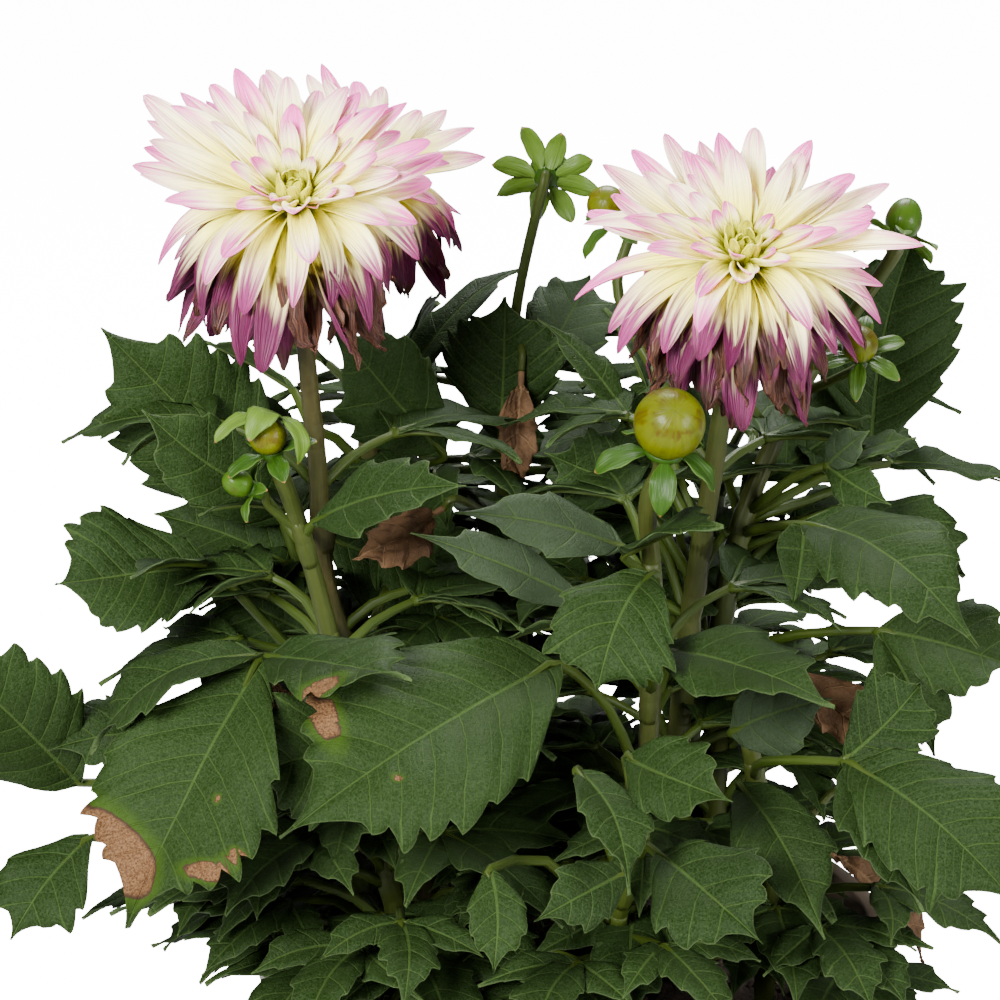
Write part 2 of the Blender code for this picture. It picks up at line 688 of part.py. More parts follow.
def withered_shells(name):
    """A dead leaf with its last stretch of stalk, which starts just clear of the green stalk's end."""
    _, _, joint, tip, width, face = WITHERED[name]
    joint, tip = vector(joint), vector(tip)
    way = unit(tip - joint)
    ends = (joint + SEAT_GAP * way, joint + WITHERED_STALK * way)
    stalk = tube(ends, STALK_RADII[2:], WITHERED_STALK_SIDES)
    return [stalk, blade(joint + 4.0 * way, tip, width, face, 0.12, 2, fold=WITHERED_FOLD)]


def leafy_stem_shells(name):
    stem = STEMS[name]
    points, radii = stem_route(name)
    shells = [tube(points, radii, STEM_SIDES)]
    for end in stem["ends"]:
        shells += end_shells(end)
    for height, route, end in stem.get("branches", ()):
        start = on_stem(points, height)
        rows = vector(route)
        path = [start, *rows[:, :3], *holder_points(end)]
        thin = [rows[0][3] * 1.3, *rows[:, 3], *(2 * [rows[-1][3]])]
        shells.append(tube(path, thin, BRANCH_SIDES))
        shells += end_shells(end)
    for height, petiole, leaflets in stem["leaves"]:
        shells += leaf_shells(on_stem(points, height), petiole, leaflets)
    for height, azimuth, reach, lift, size in stem["sprays"]:
        shells.append(spray_shell(on_stem(points, height), azimuth, reach, lift, size))
    for carrier, height, joint, tip, _, _ in WITHERED.values():
        if carrier == name:
            start = on_stem(points, height)
            before = vector(joint) - 7.0 * unit(vector(tip) - vector(joint))
            shells.append(tube((start, before, joint), STALK_RADII[:3], WITHERED_STALK_SIDES))
    return shells


# Objects


def material(name, colour, roughness):
    made = bpy.data.materials.new(name)
    made.use_nodes = True
    shader = made.node_tree.nodes["Principled BSDF"]
    shader.inputs["Base Color"].default_value = (*colour, 1.0)
    shader.inputs["Roughness"].default_value = roughness
    made.diffuse_color = (*colour, 1.0)
    return made


def mesh_object(name, shell):
    points, faces = shell
    mesh = bpy.data.meshes.new(name)
    mesh.from_pydata((np.asarray(points) * MM).tolist(), [], faces)
    obj = bpy.data.objects.new(name, mesh)
    bpy.context.scene.collection.objects.link(obj)
    return obj


def keep_outer_body(mesh):
    """Drops what a union leaves beside the largest body: sealed hollows and loose scraps."""
    parent = list(range(len(mesh.vertices)))

    def head(i):
        while parent[i] != i:
            parent[i] = parent[parent[i]]
            i = parent[i]
        return i

    for edge in mesh.edges:
        a, b = edge.vertices
        parent[head(a)] = head(b)
    heads = np.array([head(i) for i in range(len(parent))])
    groups, sizes = np.unique(heads, return_counts=True)
    spare = np.flatnonzero(heads != groups[sizes.argmax()])
    if len(spare):
        drop = bmesh.new()
        drop.from_mesh(mesh)
        drop.verts.ensure_lookup_table()
        bmesh.ops.delete(drop, geom=[drop.verts[i] for i in spare], context="VERTS")
        drop.to_mesh(mesh)
        drop.free()


def fused(name, shells, finish):
    """One object that joins all the shells, by a single union with the first."""
    obj = mesh_object(name, shells[0])
    others = bpy.data.collections.new(name)
    bpy.context.scene.collection.children.link(others)
    for shell in shells[1:]:
        piece = mesh_object(name, shell)
        bpy.context.scene.collection.objects.unlink(piece)
        others.objects.link(piece)
    union = obj.modifiers.new("join", "BOOLEAN")
    union.operation = "UNION"
    union.operand_type = "COLLECTION"
    union.collection = others
    union.solver = "MANIFOLD"
    joined = bpy.data.meshes.new_from_object(obj.evaluated_get(bpy.context.evaluated_depsgraph_get()))
    obj.modifiers.clear()
    obj.data = joined
    for piece in list(others.objects):
        bpy.data.objects.remove(piece)
    bpy.data.collections.remove(others)
    keep_outer_body(joined)
    joined.materials.clear()
    joined.materials.append(finish)
    obj.name = name
    return obj


# Pot and soil


def inner_radius(height):
    """The pot's radius inside its wall at a height above its underside."""
    low, high = POT_BASE_RADIUS - POT_WALL, POT_TOP_RADIUS - RIM_OVERHANG - POT_WALL
    return low + (high - low) * height / POT_HEIGHT


def pot_object(finish):
    under_rim = POT_HEIGHT - RIM_HEIGHT
    profile = (
        (POT_BASE_RADIUS, 0.0),
        (inner_radius(under_rim) + POT_WALL, under_rim),
        (POT_TOP_RADIUS, under_rim),
        (POT_TOP_RADIUS, POT_HEIGHT),
        (inner_radius(POT_HEIGHT), POT_HEIGHT),
        (inner_radius(POT_FLOOR), POT_FLOOR),
    )
    pot = mesh_object("pot", turned(profile, (0, 0, 0), UP, POT_SIDES))
    holes = []
    for k in range(DRAIN_HOLES):
        turn = 2 * math.pi * k / DRAIN_HOLES
        x, y = DRAIN_CIRCLE * math.cos(turn), DRAIN_CIRCLE * math.sin(turn)
        ends = ((x, y, -PAST_WALL), (x, y, POT_FLOOR + PAST_WALL))
        holes.append(tube(ends, (DRAIN_RADIUS, DRAIN_RADIUS), HOLE_SIDES))
    cut_away(pot, holes)
    pot.data.materials.append(finish)
    return pot


def soil_object(finish):
    floor = POT_FLOOR + SEAT_GAP
    profile = (
        (inner_radius(floor) - SEAT_GAP, floor),
        (inner_radius(SOIL_EDGE_HEIGHT) - SEAT_GAP, SOIL_EDGE_HEIGHT),
        (SOIL_SHOULDER, SOIL_CENTRE_HEIGHT - 1.0),
        (SOIL_CROWN, SOIL_CENTRE_HEIGHT),
    )
    soil = mesh_object("soil", turned(profile, (0, 0, 0), UP, POT_SIDES))
    holes = []
    for stem in STEMS.values():
        x, y, radius = stem["route"][0]
        wide = (radius + SEAT_GAP) / math.cos(math.pi / HOLE_SIDES)
        ends = ((x, y, STEM_FOOT - SEAT_GAP), (x, y, SOIL_CENTRE_HEIGHT + 2 * PAST_WALL))
        holes.append(tube(ends, (wide, wide), HOLE_SIDES))
    cut_away(soil, holes)
    soil.data.materials.append(finish)
    return soil


def cut_away(obj, shells):
    """Cuts every shell out of the object, and applies the cuts."""
    for shell in shells:
        cutter = mesh_object("cutter", shell)
        cut = obj.modifiers.new("cut", "BOOLEAN")
        cut.operation = "DIFFERENCE"
        cut.object = cutter
    graph = bpy.context.evaluated_depsgraph_get()
    done = bpy.data.meshes.new_from_object(obj.evaluated_get(graph))
    cutters = [modifier.object for modifier in obj.modifiers]
    obj.modifiers.clear()
    obj.data = done
    for cutter in cutters:
        bpy.data.objects.remove(cutter)


def build():
    for obj in list(bpy.data.objects):
        bpy.data.objects.remove(obj)
    taupe = material("pot_plastic", (0.36, 0.30, 0.25), 0.55)
    compost = material("compost", (0.035, 0.022, 0.015), 0.95)
    leaf_green = material("leaf_green", (0.035, 0.095, 0.025), 0.55)
    bud_green = material("bud_yellow_green", (0.42, 0.45, 0.03), 0.3)
    cream = material("petal_cream", (0.88, 0.80, 0.62), 0.5)
    dead_brown = material("withered_brown", (0.19, 0.09, 0.04), 0.8)
    pot_object(taupe)
    soil_object(compost)
    for name in STEMS:
        fused(name, leafy_stem_shells(name), leaf_green)
    for name in BLOOMS:
        fused(name, bloom_shells(name), cream)
    for name in BUDS:
        if not name.startswith("green"):
            mesh_object(name, ball_shell(name)).data.materials.append(bud_green)
    for name in WITHERED:
        fused(name, withered_shells(name), dead_brown)


build()
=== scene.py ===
import math

import bpy
import numpy as np
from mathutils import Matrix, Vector


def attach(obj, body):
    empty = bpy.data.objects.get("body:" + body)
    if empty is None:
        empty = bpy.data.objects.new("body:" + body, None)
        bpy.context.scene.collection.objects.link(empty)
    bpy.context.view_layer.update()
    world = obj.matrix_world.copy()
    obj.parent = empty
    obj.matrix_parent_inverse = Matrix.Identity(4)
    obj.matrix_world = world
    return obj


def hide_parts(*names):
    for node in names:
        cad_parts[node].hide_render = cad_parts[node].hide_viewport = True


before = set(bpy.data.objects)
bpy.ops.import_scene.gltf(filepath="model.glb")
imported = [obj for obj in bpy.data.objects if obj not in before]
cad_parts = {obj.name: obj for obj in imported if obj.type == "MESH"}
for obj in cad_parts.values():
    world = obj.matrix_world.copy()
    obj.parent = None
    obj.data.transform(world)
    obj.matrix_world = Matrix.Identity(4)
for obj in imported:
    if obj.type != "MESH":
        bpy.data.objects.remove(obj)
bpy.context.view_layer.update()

# The view
# The camera looks slightly down on the plant from in front, with a long lens, as the photograph does. It
# aims at the plant's middle, and takes in the view's width there.


def vector(values):
    """The values as an array of decimal numbers."""
    return np.array(values, float)


MM = 0.001
VIEW_TARGET = vector((-24.0, 0.0, 311.0))
VIEW_DISTANCE = 1400.0
VIEW_ELEVATION = math.radians(20.0)
VIEW_WIDTH = 320.0
SENSOR_WIDTH = 36.0


def aimed(name, data, place, target):
    """An object at place, turned so that its -Z looks at target."""
    obj = bpy.data.objects.new(name, data)
    bpy.context.scene.collection.objects.link(obj)
    obj.location = Vector(place * MM)
    obj.rotation_euler = Vector(target - place).to_track_quat("-Z", "Y").to_euler()
    return obj


camera_data = bpy.data.cameras.new("camera")
camera_data.sensor_width = SENSOR_WIDTH
camera_data.lens = SENSOR_WIDTH * VIEW_DISTANCE / VIEW_WIDTH
back = vector((0.0, -math.cos(VIEW_ELEVATION), math.sin(VIEW_ELEVATION)))
camera = aimed("camera", camera_data, VIEW_TARGET + VIEW_DISTANCE * back, VIEW_TARGET)
bpy.context.scene.camera = camera

# The studio
# Soft light from the upper left in front, a weaker fill from the right, and a light from behind that
# lifts the petals' edges. A pale paper floor carries the pot.

# Each light: its place, its width and its power in watts
LIGHTS = {
    "key_light": ((-650, -1250, 1080), 650, 142.0),
    "fill_light": ((1150, -850, 700), 700, 52.0),
    "top_light": ((100, 800, 1350), 700, 78.0),
}
PLANT_CENTRE = vector((-20.0, 0.0, 290.0))
WHITE = (1.0, 1.0, 1.0, 1.0)
AMBIENT = 0.52
FLOOR_SIZE = 20000.0
FLOOR_BELOW = 0.5
FLOOR_GREY = (0.55, 0.55, 0.55, 1.0)
# The floor's painted glow, seen by the camera alone, and the distances from the origin in millimetres over
# which it comes in
FLOOR_PAINTED_GLOW = 14.0
GLOW_STARTS = 160.0
GLOW_FULL = 300.0

for name, (place, size, power) in LIGHTS.items():
    light = bpy.data.lights.new(name, "AREA")
    light.shape = "DISK"
    light.size = size * MM
    light.energy = power
    aimed(name, light, vector(place), PLANT_CENTRE)

world = bpy.data.worlds.new("studio")
world.use_nodes = True
world.node_tree.nodes["Background"].inputs["Color"].default_value = WHITE
world.node_tree.nodes["Background"].inputs["Strength"].default_value = AMBIENT
bpy.context.scene.world = world


def put(tree, kind, feeds=None, **settings):
    """A shader node with its settings, and its inputs linked to a socket or set to a value, as feeds says."""
    made = tree.nodes.new(kind)
    for key, value in settings.items():
        setattr(made, key, value)
    for key, feed in (feeds or {}).items():
        if isinstance(feed, bpy.types.NodeSocket):
            tree.links.new(feed, made.inputs[key])
        else:
            made.inputs[key].default_value = feed
    return made


def finish_material(name, roughness, **constants):
    """A material whose Principled BSDF holds the values that are the same all over, with its node tree and
    that shader. An input's name has _ in place of a space.
    """
    made = bpy.data.materials.new(name)
    made.use_nodes = True
    shader = made.node_tree.nodes["Principled BSDF"]
    shader.inputs["Roughness"].default_value = roughness
    for key, value in constants.items():
        shader.inputs[key.replace("_", " ")].default_value = value
    return made, made.node_tree, shader


def wire(shader, **feeds):
    """Links a socket to each input that is named, with _ in place of a space."""
    for key, socket in feeds.items():
        shader.id_data.links.new(socket, shader.inputs[key.replace("_", " ")])


def smooth_step(value, low, high):
    """0 below low and 1 above high, or the other way round where low is the greater."""
    feeds = {"Value": value, "From Min": low, "From Max": high}
    return put(value.id_data, "ShaderNodeMapRange", feeds, interpolation_type="SMOOTHSTEP").outputs[0]


def maths(operation, a, b):
    """A Math node of two inputs, in the tree of whichever input is a socket."""
    tree = (a if isinstance(a, bpy.types.NodeSocket) else b).id_data
    return put(tree, "ShaderNodeMath", {0: a, 1: b}, operation=operation).outputs[0]


def times(a, b):
    """a multiplied by b."""
    return maths("MULTIPLY", a, b)


def object_place(tree):
    """The place on the object, in metres."""
    return put(tree, "ShaderNodeTexCoord").outputs["Object"]


# The paper glows beyond a circle round the plant, seen by camera rays alone: painted light that shows it
# white. The glow fades out towards the pot and leaves a grey disc round it, over the plant's real shadow.
floor_finish, tree, shader = finish_material("floor_paper", 0.9)
shader.inputs["Base Color"].default_value = FLOOR_GREY
shader.inputs["Emission Color"].default_value = WHITE
away = put(tree, "ShaderNodeVectorMath", {0: object_place(tree)}, operation="LENGTH").outputs["Value"]
seen = put(tree, "ShaderNodeLightPath").outputs["Is Camera Ray"]
glow = times(smooth_step(away, GLOW_STARTS * MM, GLOW_FULL * MM), seen)
wire(shader, Emission_Strength=times(glow, FLOOR_PAINTED_GLOW))
half = 0.5 * FLOOR_SIZE * MM
floor_mesh = bpy.data.meshes.new("floor")
corners = [(-half, -half, 0), (half, -half, 0), (half, half, 0), (-half, half, 0)]
floor_mesh.from_pydata(corners, [], [(0, 1, 2, 3)])
floor_mesh.materials.append(floor_finish)
floor = bpy.data.objects.new("floor", floor_mesh)
floor.location.z = -FLOOR_BELOW * MM
bpy.context.scene.collection.objects.link(floor)

# The pot
# A tapered nursery pot of thin taupe plastic, injection moulded, with a turned rim and six drain holes. It
# is dusty, and splashed with soil near its rim.
POT_HEIGHT = 160.0
POT_TOP_RADIUS = 105.0
POT_BASE_RADIUS = 77.0
POT_WALL = 2.5
POT_FLOOR = 4.0
POT_CORNERS = 1.1
RIM_HEIGHT = 9.0
RIM_OVERHANG = 3.5
POT_SIDES = 128
DRAIN_HOLES = 6
DRAIN_RADIUS = 5.0
DRAIN_CIRCLE = 50.0
DRAIN_SIDES = 32
AXIS_GAP = 0.3
POT_CLEAN = (0.064, 0.046, 0.032)
POT_DUSTY = (0.094, 0.070, 0.050)
POT_SPLASH = 0.45, (0.022, 0.014, 0.009)
SPLASH_FROM = 110.0
SPLASH_TO = 165.0
UP = vector((0.0, 0.0, 1.0))
OFF_AXIS = (0.2, 1.0, 0.3)


def unit(direction):
    """The same direction with length one, along the last axis of an array."""
    return direction / np.linalg.norm(direction, axis=-1, keepdims=True)


def shell_quads(rows, ring):
    """The quads of a closed tube of rings: its sides, and at each end a strip from one half of the ring
    to the other.
    """
    i = np.arange(ring)
    j = (i + 1) % ring
    low = np.arange(rows - 1)[:, None] * ring
    sides = np.stack((low + i, low + j, low + ring + j, low + ring + i), -1).reshape(-1, 4)
    k = np.arange(ring // 2 - 1)
    start = np.stack((k + 1, k, ring - 1 - k, ring - 2 - k), -1)
    return np.concatenate((sides, start, start[:, ::-1] + (rows - 1) * ring))


def shell(rings, **values):
    """(points, quads, values) of a closed shell through a grid of rings, with the values at its points."""
    rows, ring = rings.shape[:2]
    spread = {key: np.broadcast_to(value, (rows, ring)).reshape(-1) for key, value in values.items()}
    return rings.reshape(-1, 3), shell_quads(rows, ring), spread


def add_piece(name, parts, finish, slot, *nodes):
    """A mesh object made of all the parts, which rides on the plant's one body and stands for the nodes."""
    starts = np.cumsum([0] + [len(points) for points, _, _ in parts[:-1]])
    points = np.concatenate([part[0] for part in parts])
    quads = np.concatenate([part[1] + start for part, start in zip(parts, starts)])
    mesh = bpy.data.meshes.new(name)
    mesh.vertices.add(len(points))
    mesh.vertices.foreach_set("co", (points * MM).astype(np.float32).ravel())
    mesh.loops.add(quads.size)
    mesh.loops.foreach_set("vertex_index", quads.astype(np.int32).ravel())
    mesh.polygons.add(len(quads))
    mesh.polygons.foreach_set("loop_start", np.arange(0, quads.size, 4, dtype=np.int32))
    mesh.polygons.foreach_set("use_smooth", np.ones(len(quads), bool))
    mesh.update(calc_edges=True)
    for key in parts[0][2]:
        value = np.concatenate([part[2][key] for part in parts]).astype(np.float32)
        mesh.attributes.new(key, "FLOAT", "POINT").data.foreach_set("value", value)
    mesh.materials.append(finish)
    obj = bpy.data.objects.new(name, mesh)
    bpy.context.scene.collection.objects.link(obj)
    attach(obj, "root")
    if nodes:
        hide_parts(*nodes)
    return obj


def circles(across, other, sides):
    """The points of a circle round each axis: the cosine of a turn along one direction, its sine along the
    other.
    """
    turns = (np.arange(sides) * 2 * math.pi / sides)[:, None]
    return np.cos(turns) * across[..., None, :] + np.sin(turns) * other[..., None, :]


def turned(profile, sides, centre=(0.0, 0.0, 0.0), axis=UP):
    """Rings about an axis, one for each (radius, height) pair of the profile."""
    axis = unit(vector(axis))
    across = unit(np.cross(axis, OFF_AXIS))
    circle = circles(across, np.cross(axis, across), sides)
    profile = vector(profile)
    return vector(centre) + profile[:, :1, None] * circle + profile[:, 1:, None] * axis


def rounded(points, radius, steps=4):
    """A profile with each inner corner turned into a curve that starts radius before it: the corner weighed
    against the two ends of the curve as a quadratic Bezier does.
    """
    points = vector(points)
    before = points[1:-1] + radius * unit(points[:-2] - points[1:-1])
    after = points[1:-1] + radius * unit(points[2:] - points[1:-1])
    t = np.linspace(0.0, 1.0, steps)[None, :, None]
    curves = (1 - t) ** 2 * before[:, None] + 2 * t * (1 - t) * points[1:-1, None] + t ** 2 * after[:, None]
    return np.vstack((points[:1], curves.reshape(-1, 2), points[-1:]))


def group(name, takes, gives):
    """An empty shader node group with named inputs, each with its default, and named outputs."""
    tree = bpy.data.node_groups.new(name, "ShaderNodeTree")
    for key, value in takes.items():
        kind = "NodeSocketVector" if value is None else "NodeSocketFloat"
        socket = tree.interface.new_socket(key, in_out="INPUT", socket_type=kind)
        if value is not None:
            socket.default_value = value
    for key in gives:
        tree.interface.new_socket(key, in_out="OUTPUT", socket_type="NodeSocketFloat")
    return tree, tree.nodes.new("NodeGroupInput").outputs, tree.nodes.new("NodeGroupOutput").inputs


def blend(factor, a, b):
    """One colour over another, by the factor."""
    a, b = (colour if isinstance(colour, bpy.types.NodeSocket) else (*colour, 1.0) for colour in (a, b))
    return put(factor.id_data, "ShaderNodeMix", {0: factor, 6: a, 7: b}, data_type="RGBA").outputs[2]


def coat(base, mask, strength, colour):
    """A colour laid over the base, as strongly as strength says where the mask is 1."""
    return blend(times(mask, strength), base, colour)


def relief(shader, height, depth):
    """Feeds the shader's normal from a height of which 1 stands depth millimetres proud."""
    bump = put(shader.id_data, "ShaderNodeBump", {"Height": height, "Distance": depth * MM, "Strength": 1.0})
    wire(shader, Normal=bump.outputs[0])


def plus(a, b):
    """a and b added."""
    return maths("ADD", a, b)


def minus(a, b):
    """b taken from a."""
    return maths("SUBTRACT", a, b)


# Mottling is noise of one grain size, spread to run from 0 to 1.
tree, taken, given = group("mottle", {"Place": None, "Grain": 300.0, "Contrast": 0.5}, ("Amount",))
noise = put(tree, "ShaderNodeTexNoise", {"Vector": taken["Place"], "Scale": taken["Grain"], "Detail": 4.0})
half_spread = times(minus(1.0, taken["Contrast"]), 0.5)
feeds = {
    "Value": noise.outputs["Fac"],
    "From Min": minus(0.5, half_spread),
    "From Max": plus(0.5, half_spread),
}
tree.links.new(put(tree, "ShaderNodeMapRange", feeds).outputs[0], given["Amount"])


def use(tree, name, feeds):
    """The outputs of a node group that is placed in a material and fed."""
    return put(tree, "ShaderNodeGroup", feeds, node_tree=bpy.data.node_groups[name]).outputs


def mottle(place, grain, contrast):
    """The mottling at a place, the finer the greater its grain."""
    return use(place.id_data, "mottle", {"Place": place, "Grain": grain, "Contrast": contrast})["Amount"]


pot_finish, tree, shader = finish_material("taupe_plastic", 0.5, Specular_IOR_Level=0.25)
place = object_place(tree)
dust = mottle(place, 60.0, 0.4)
grain = mottle(place, 2500.0, 0.2)
height = put(tree, "ShaderNodeSeparateXYZ", {0: place}).outputs["Z"]
splash = times(smooth_step(height, SPLASH_FROM * MM, SPLASH_TO * MM), dust)
skin = coat(blend(dust, POT_CLEAN, POT_DUSTY), splash, *POT_SPLASH)
wire(shader, Base_Color=skin, Roughness=plus(times(dust, 0.2), 0.42))
relief(shader, grain, 0.04)


def inner_radius(height):
    """The pot's radius inside its wall at a height above its underside."""
    low, high = POT_BASE_RADIUS - POT_WALL, POT_TOP_RADIUS - RIM_OVERHANG - POT_WALL
    return low + (high - low) * height / POT_HEIGHT


under_rim = POT_HEIGHT - RIM_HEIGHT
pot_corners = (
    (AXIS_GAP, 0.0),
    (POT_BASE_RADIUS, 0.0),
    (inner_radius(under_rim) + POT_WALL, under_rim),
    (POT_TOP_RADIUS, under_rim),
    (POT_TOP_RADIUS, POT_HEIGHT),
    (inner_radius(POT_HEIGHT), POT_HEIGHT),
    (inner_radius(POT_FLOOR), POT_FLOOR),
    (AXIS_GAP, POT_FLOOR),
)
pot_shell = shell(turned(rounded(pot_corners, POT_CORNERS), POT_SIDES))
pot = add_piece("flower_pot", [pot_shell], pot_finish, "pot_plastic", "pot")
cutters = []
for k in range(DRAIN_HOLES):
    turn = 2 * math.pi * k / DRAIN_HOLES
    bpy.ops.mesh.primitive_cylinder_add(
        vertices=DRAIN_SIDES,
        radius=DRAIN_RADIUS * MM,
        depth=4 * POT_FLOOR * MM,
        location=(DRAIN_CIRCLE * math.cos(turn) * MM, DRAIN_CIRCLE * math.sin(turn) * MM, 0.0),
    )
    cutters.append(bpy.context.object)
    cut = pot.modifiers.new("drain", "BOOLEAN")
    cut.operation = "DIFFERENCE"
    cut.object = cutters[-1]
bored = bpy.data.meshes.new_from_object(pot.evaluated_get(bpy.context.evaluated_depsgraph_get()))
pot.modifiers.clear()
pot.data = bored
for cutter in cutters:
    bpy.data.objects.remove(cutter)

# The soil
# Peaty compost up to a finger's width below the rim, crumbly, with bits of bark and a few pale grains.
# Each crumb is a small lump turned about an axis of its own and pulled out of shape.
SOIL_EDGE_HEIGHT = 141.0
SOIL_CENTRE_HEIGHT = 146.0
SOIL_GAP = 0.3
SOIL_SIDES = 96
SOIL_ROWS = 56
SOIL_BUMP = 1.6
SOIL_BUMP_SIZE = 9.0
SOIL_BUMPS_FADE = 6
SOIL_SEED = 21
CRUMBS = 420
CRUMB_SEED = 22
CRUMB_REACH = 0.96
CRUMB_SIZES = (0.8, 2.4)
CRUMB_STRETCH = (0.6, 1.5)
CRUMB_RISE = 0.6
CRUMB_PROFILE = ((0.3, -0.9), (0.95, -0.35), (0.9, 0.45), (0.25, 0.9))
SOIL_WET = (0.012, 0.007, 0.005)
SOIL_DRY = (0.046, 0.028, 0.018)
SOIL_GRAIN = (0.20, 0.15, 0.09)
SOIL_FIBRE = 0.5, (0.032, 0.020, 0.013)


def attribute(tree, name):
    """A value that the mesh keeps at its points."""
    return put(tree, "ShaderNodeAttribute", attribute_name=name).outputs["Fac"]


soil_finish, tree, shader = finish_material("compost", 0.95)
place = object_place(tree)
clods = mottle(place, 220.0, 0.5)
fibres = mottle(place, 900.0, 0.5)
soil = blend(clods, SOIL_WET, SOIL_DRY)
soil = blend(smooth_step(attribute(tree, "pale"), 0.80, 0.95), soil, SOIL_GRAIN)
wire(shader, Base_Color=coat(soil, fibres, *SOIL_FIBRE))
relief(shader, fibres, 0.6)


def wrinkles(points, size, seed):
    """Smooth noise from about -1 to 1 at an array of points, for wrinkles of a size: the product of two sine
    waves in seeded directions and a little of a third, added up for four sizes, each half the last and
    fainter.
    """
    draw = np.random.default_rng(seed)
    total = np.zeros(points.shape[:-1])
    for octave in range(4):
        ways = draw.normal(size=(3, 3)) * 2.0 ** octave * 2.2 / size
        waves = np.sin(points @ ways.T + draw.uniform(0, 2 * math.pi, 3))
        total += waves[..., 0] * waves[..., 1] * 0.75 ** octave + 0.3 * waves[..., 2] * 0.6 ** octave
    return total / 2.2


def soil_height(share):
    """The height of the soil at a share of its radius: it is crowned, as 1 less the share squared is."""
    return SOIL_EDGE_HEIGHT + (SOIL_CENTRE_HEIGHT - SOIL_EDGE_HEIGHT) * (1 - share ** 2)


edge_radius = inner_radius(SOIL_EDGE_HEIGHT) - SOIL_GAP
soil_floor = POT_FLOOR + SOIL_GAP
shares = np.linspace(1.0, 0.0, SOIL_ROWS)[:, None]
crown = np.hstack((edge_radius * shares + AXIS_GAP * (1 - shares), soil_height(shares)))
side = np.array(((AXIS_GAP, soil_floor), (inner_radius(soil_floor) - SOIL_GAP, soil_floor)))
soil_rings = turned(np.vstack((side, crown)), SOIL_SIDES)
bumps = SOIL_BUMP * wrinkles(soil_rings[3:], SOIL_BUMP_SIZE, SOIL_SEED)
soil_rings[3:, :, 2] += bumps * np.minimum(1.0, SOIL_BUMPS_FADE * (1 - shares[1:]))
parts = [shell(soil_rings, pale=0.0)]
draw = np.random.default_rng(CRUMB_SEED)
for _ in range(CRUMBS):
    out = edge_radius * CRUMB_REACH * math.sqrt(draw.uniform())
    turn = draw.uniform(0, 2 * math.pi)
    height = soil_height(out / edge_radius) + CRUMB_RISE
    size = draw.uniform(*CRUMB_SIZES)
    lump = turned(CRUMB_PROFILE, 6, axis=draw.normal(size=3)) * size * draw.uniform(*CRUMB_STRETCH, 3)
    place = vector((out * math.cos(turn), out * math.sin(turn), height))
    parts.append(shell(lump + place, pale=draw.uniform()))
add_piece("soil_surface", parts, soil_finish, "compost", "soil")

# The stems
# Ribbed, slightly hollow stalks, green where young and flushed brownish purple where old, swollen at
# each joint, where a pair of leaves grows. Petioles and branches are thinner stalks of the same kind.
STEM_FOOT = 116.0
STEM_CLEAR_OF_SOIL = 153.0
STEM_SIDES = 14
STEM_STEPS = 8
PETIOLE_SIDES = 8
STREAK_LENGTH = 25.0
BRANCH_FOOT = 1.3
BRANCH_FLUSH = 0.4
STALK_YOUNG = (0.0095, 0.0200, 0.0016), (0.0190, 0.0310, 0.0030)
STALK_PURPLE = (0.0170, 0.0095, 0.0045), (0.0290, 0.0195, 0.0080)
# A paler colour on the raised ribs: a painted highlight
STALK_RIB_HIGHLIGHT = 0.25, (0.0330, 0.0400, 0.0080)

FACE_LEFT = (-0.35, -0.55, 0.75)
FACE_RIGHT = (0.35, -0.55, 0.75)
FACE_VIEW = (0.0, -0.85, 0.5)
FACE_SKY = (0.0, -0.15, 1.0)
FACE_BACK = (0.0, 0.5, 0.85)

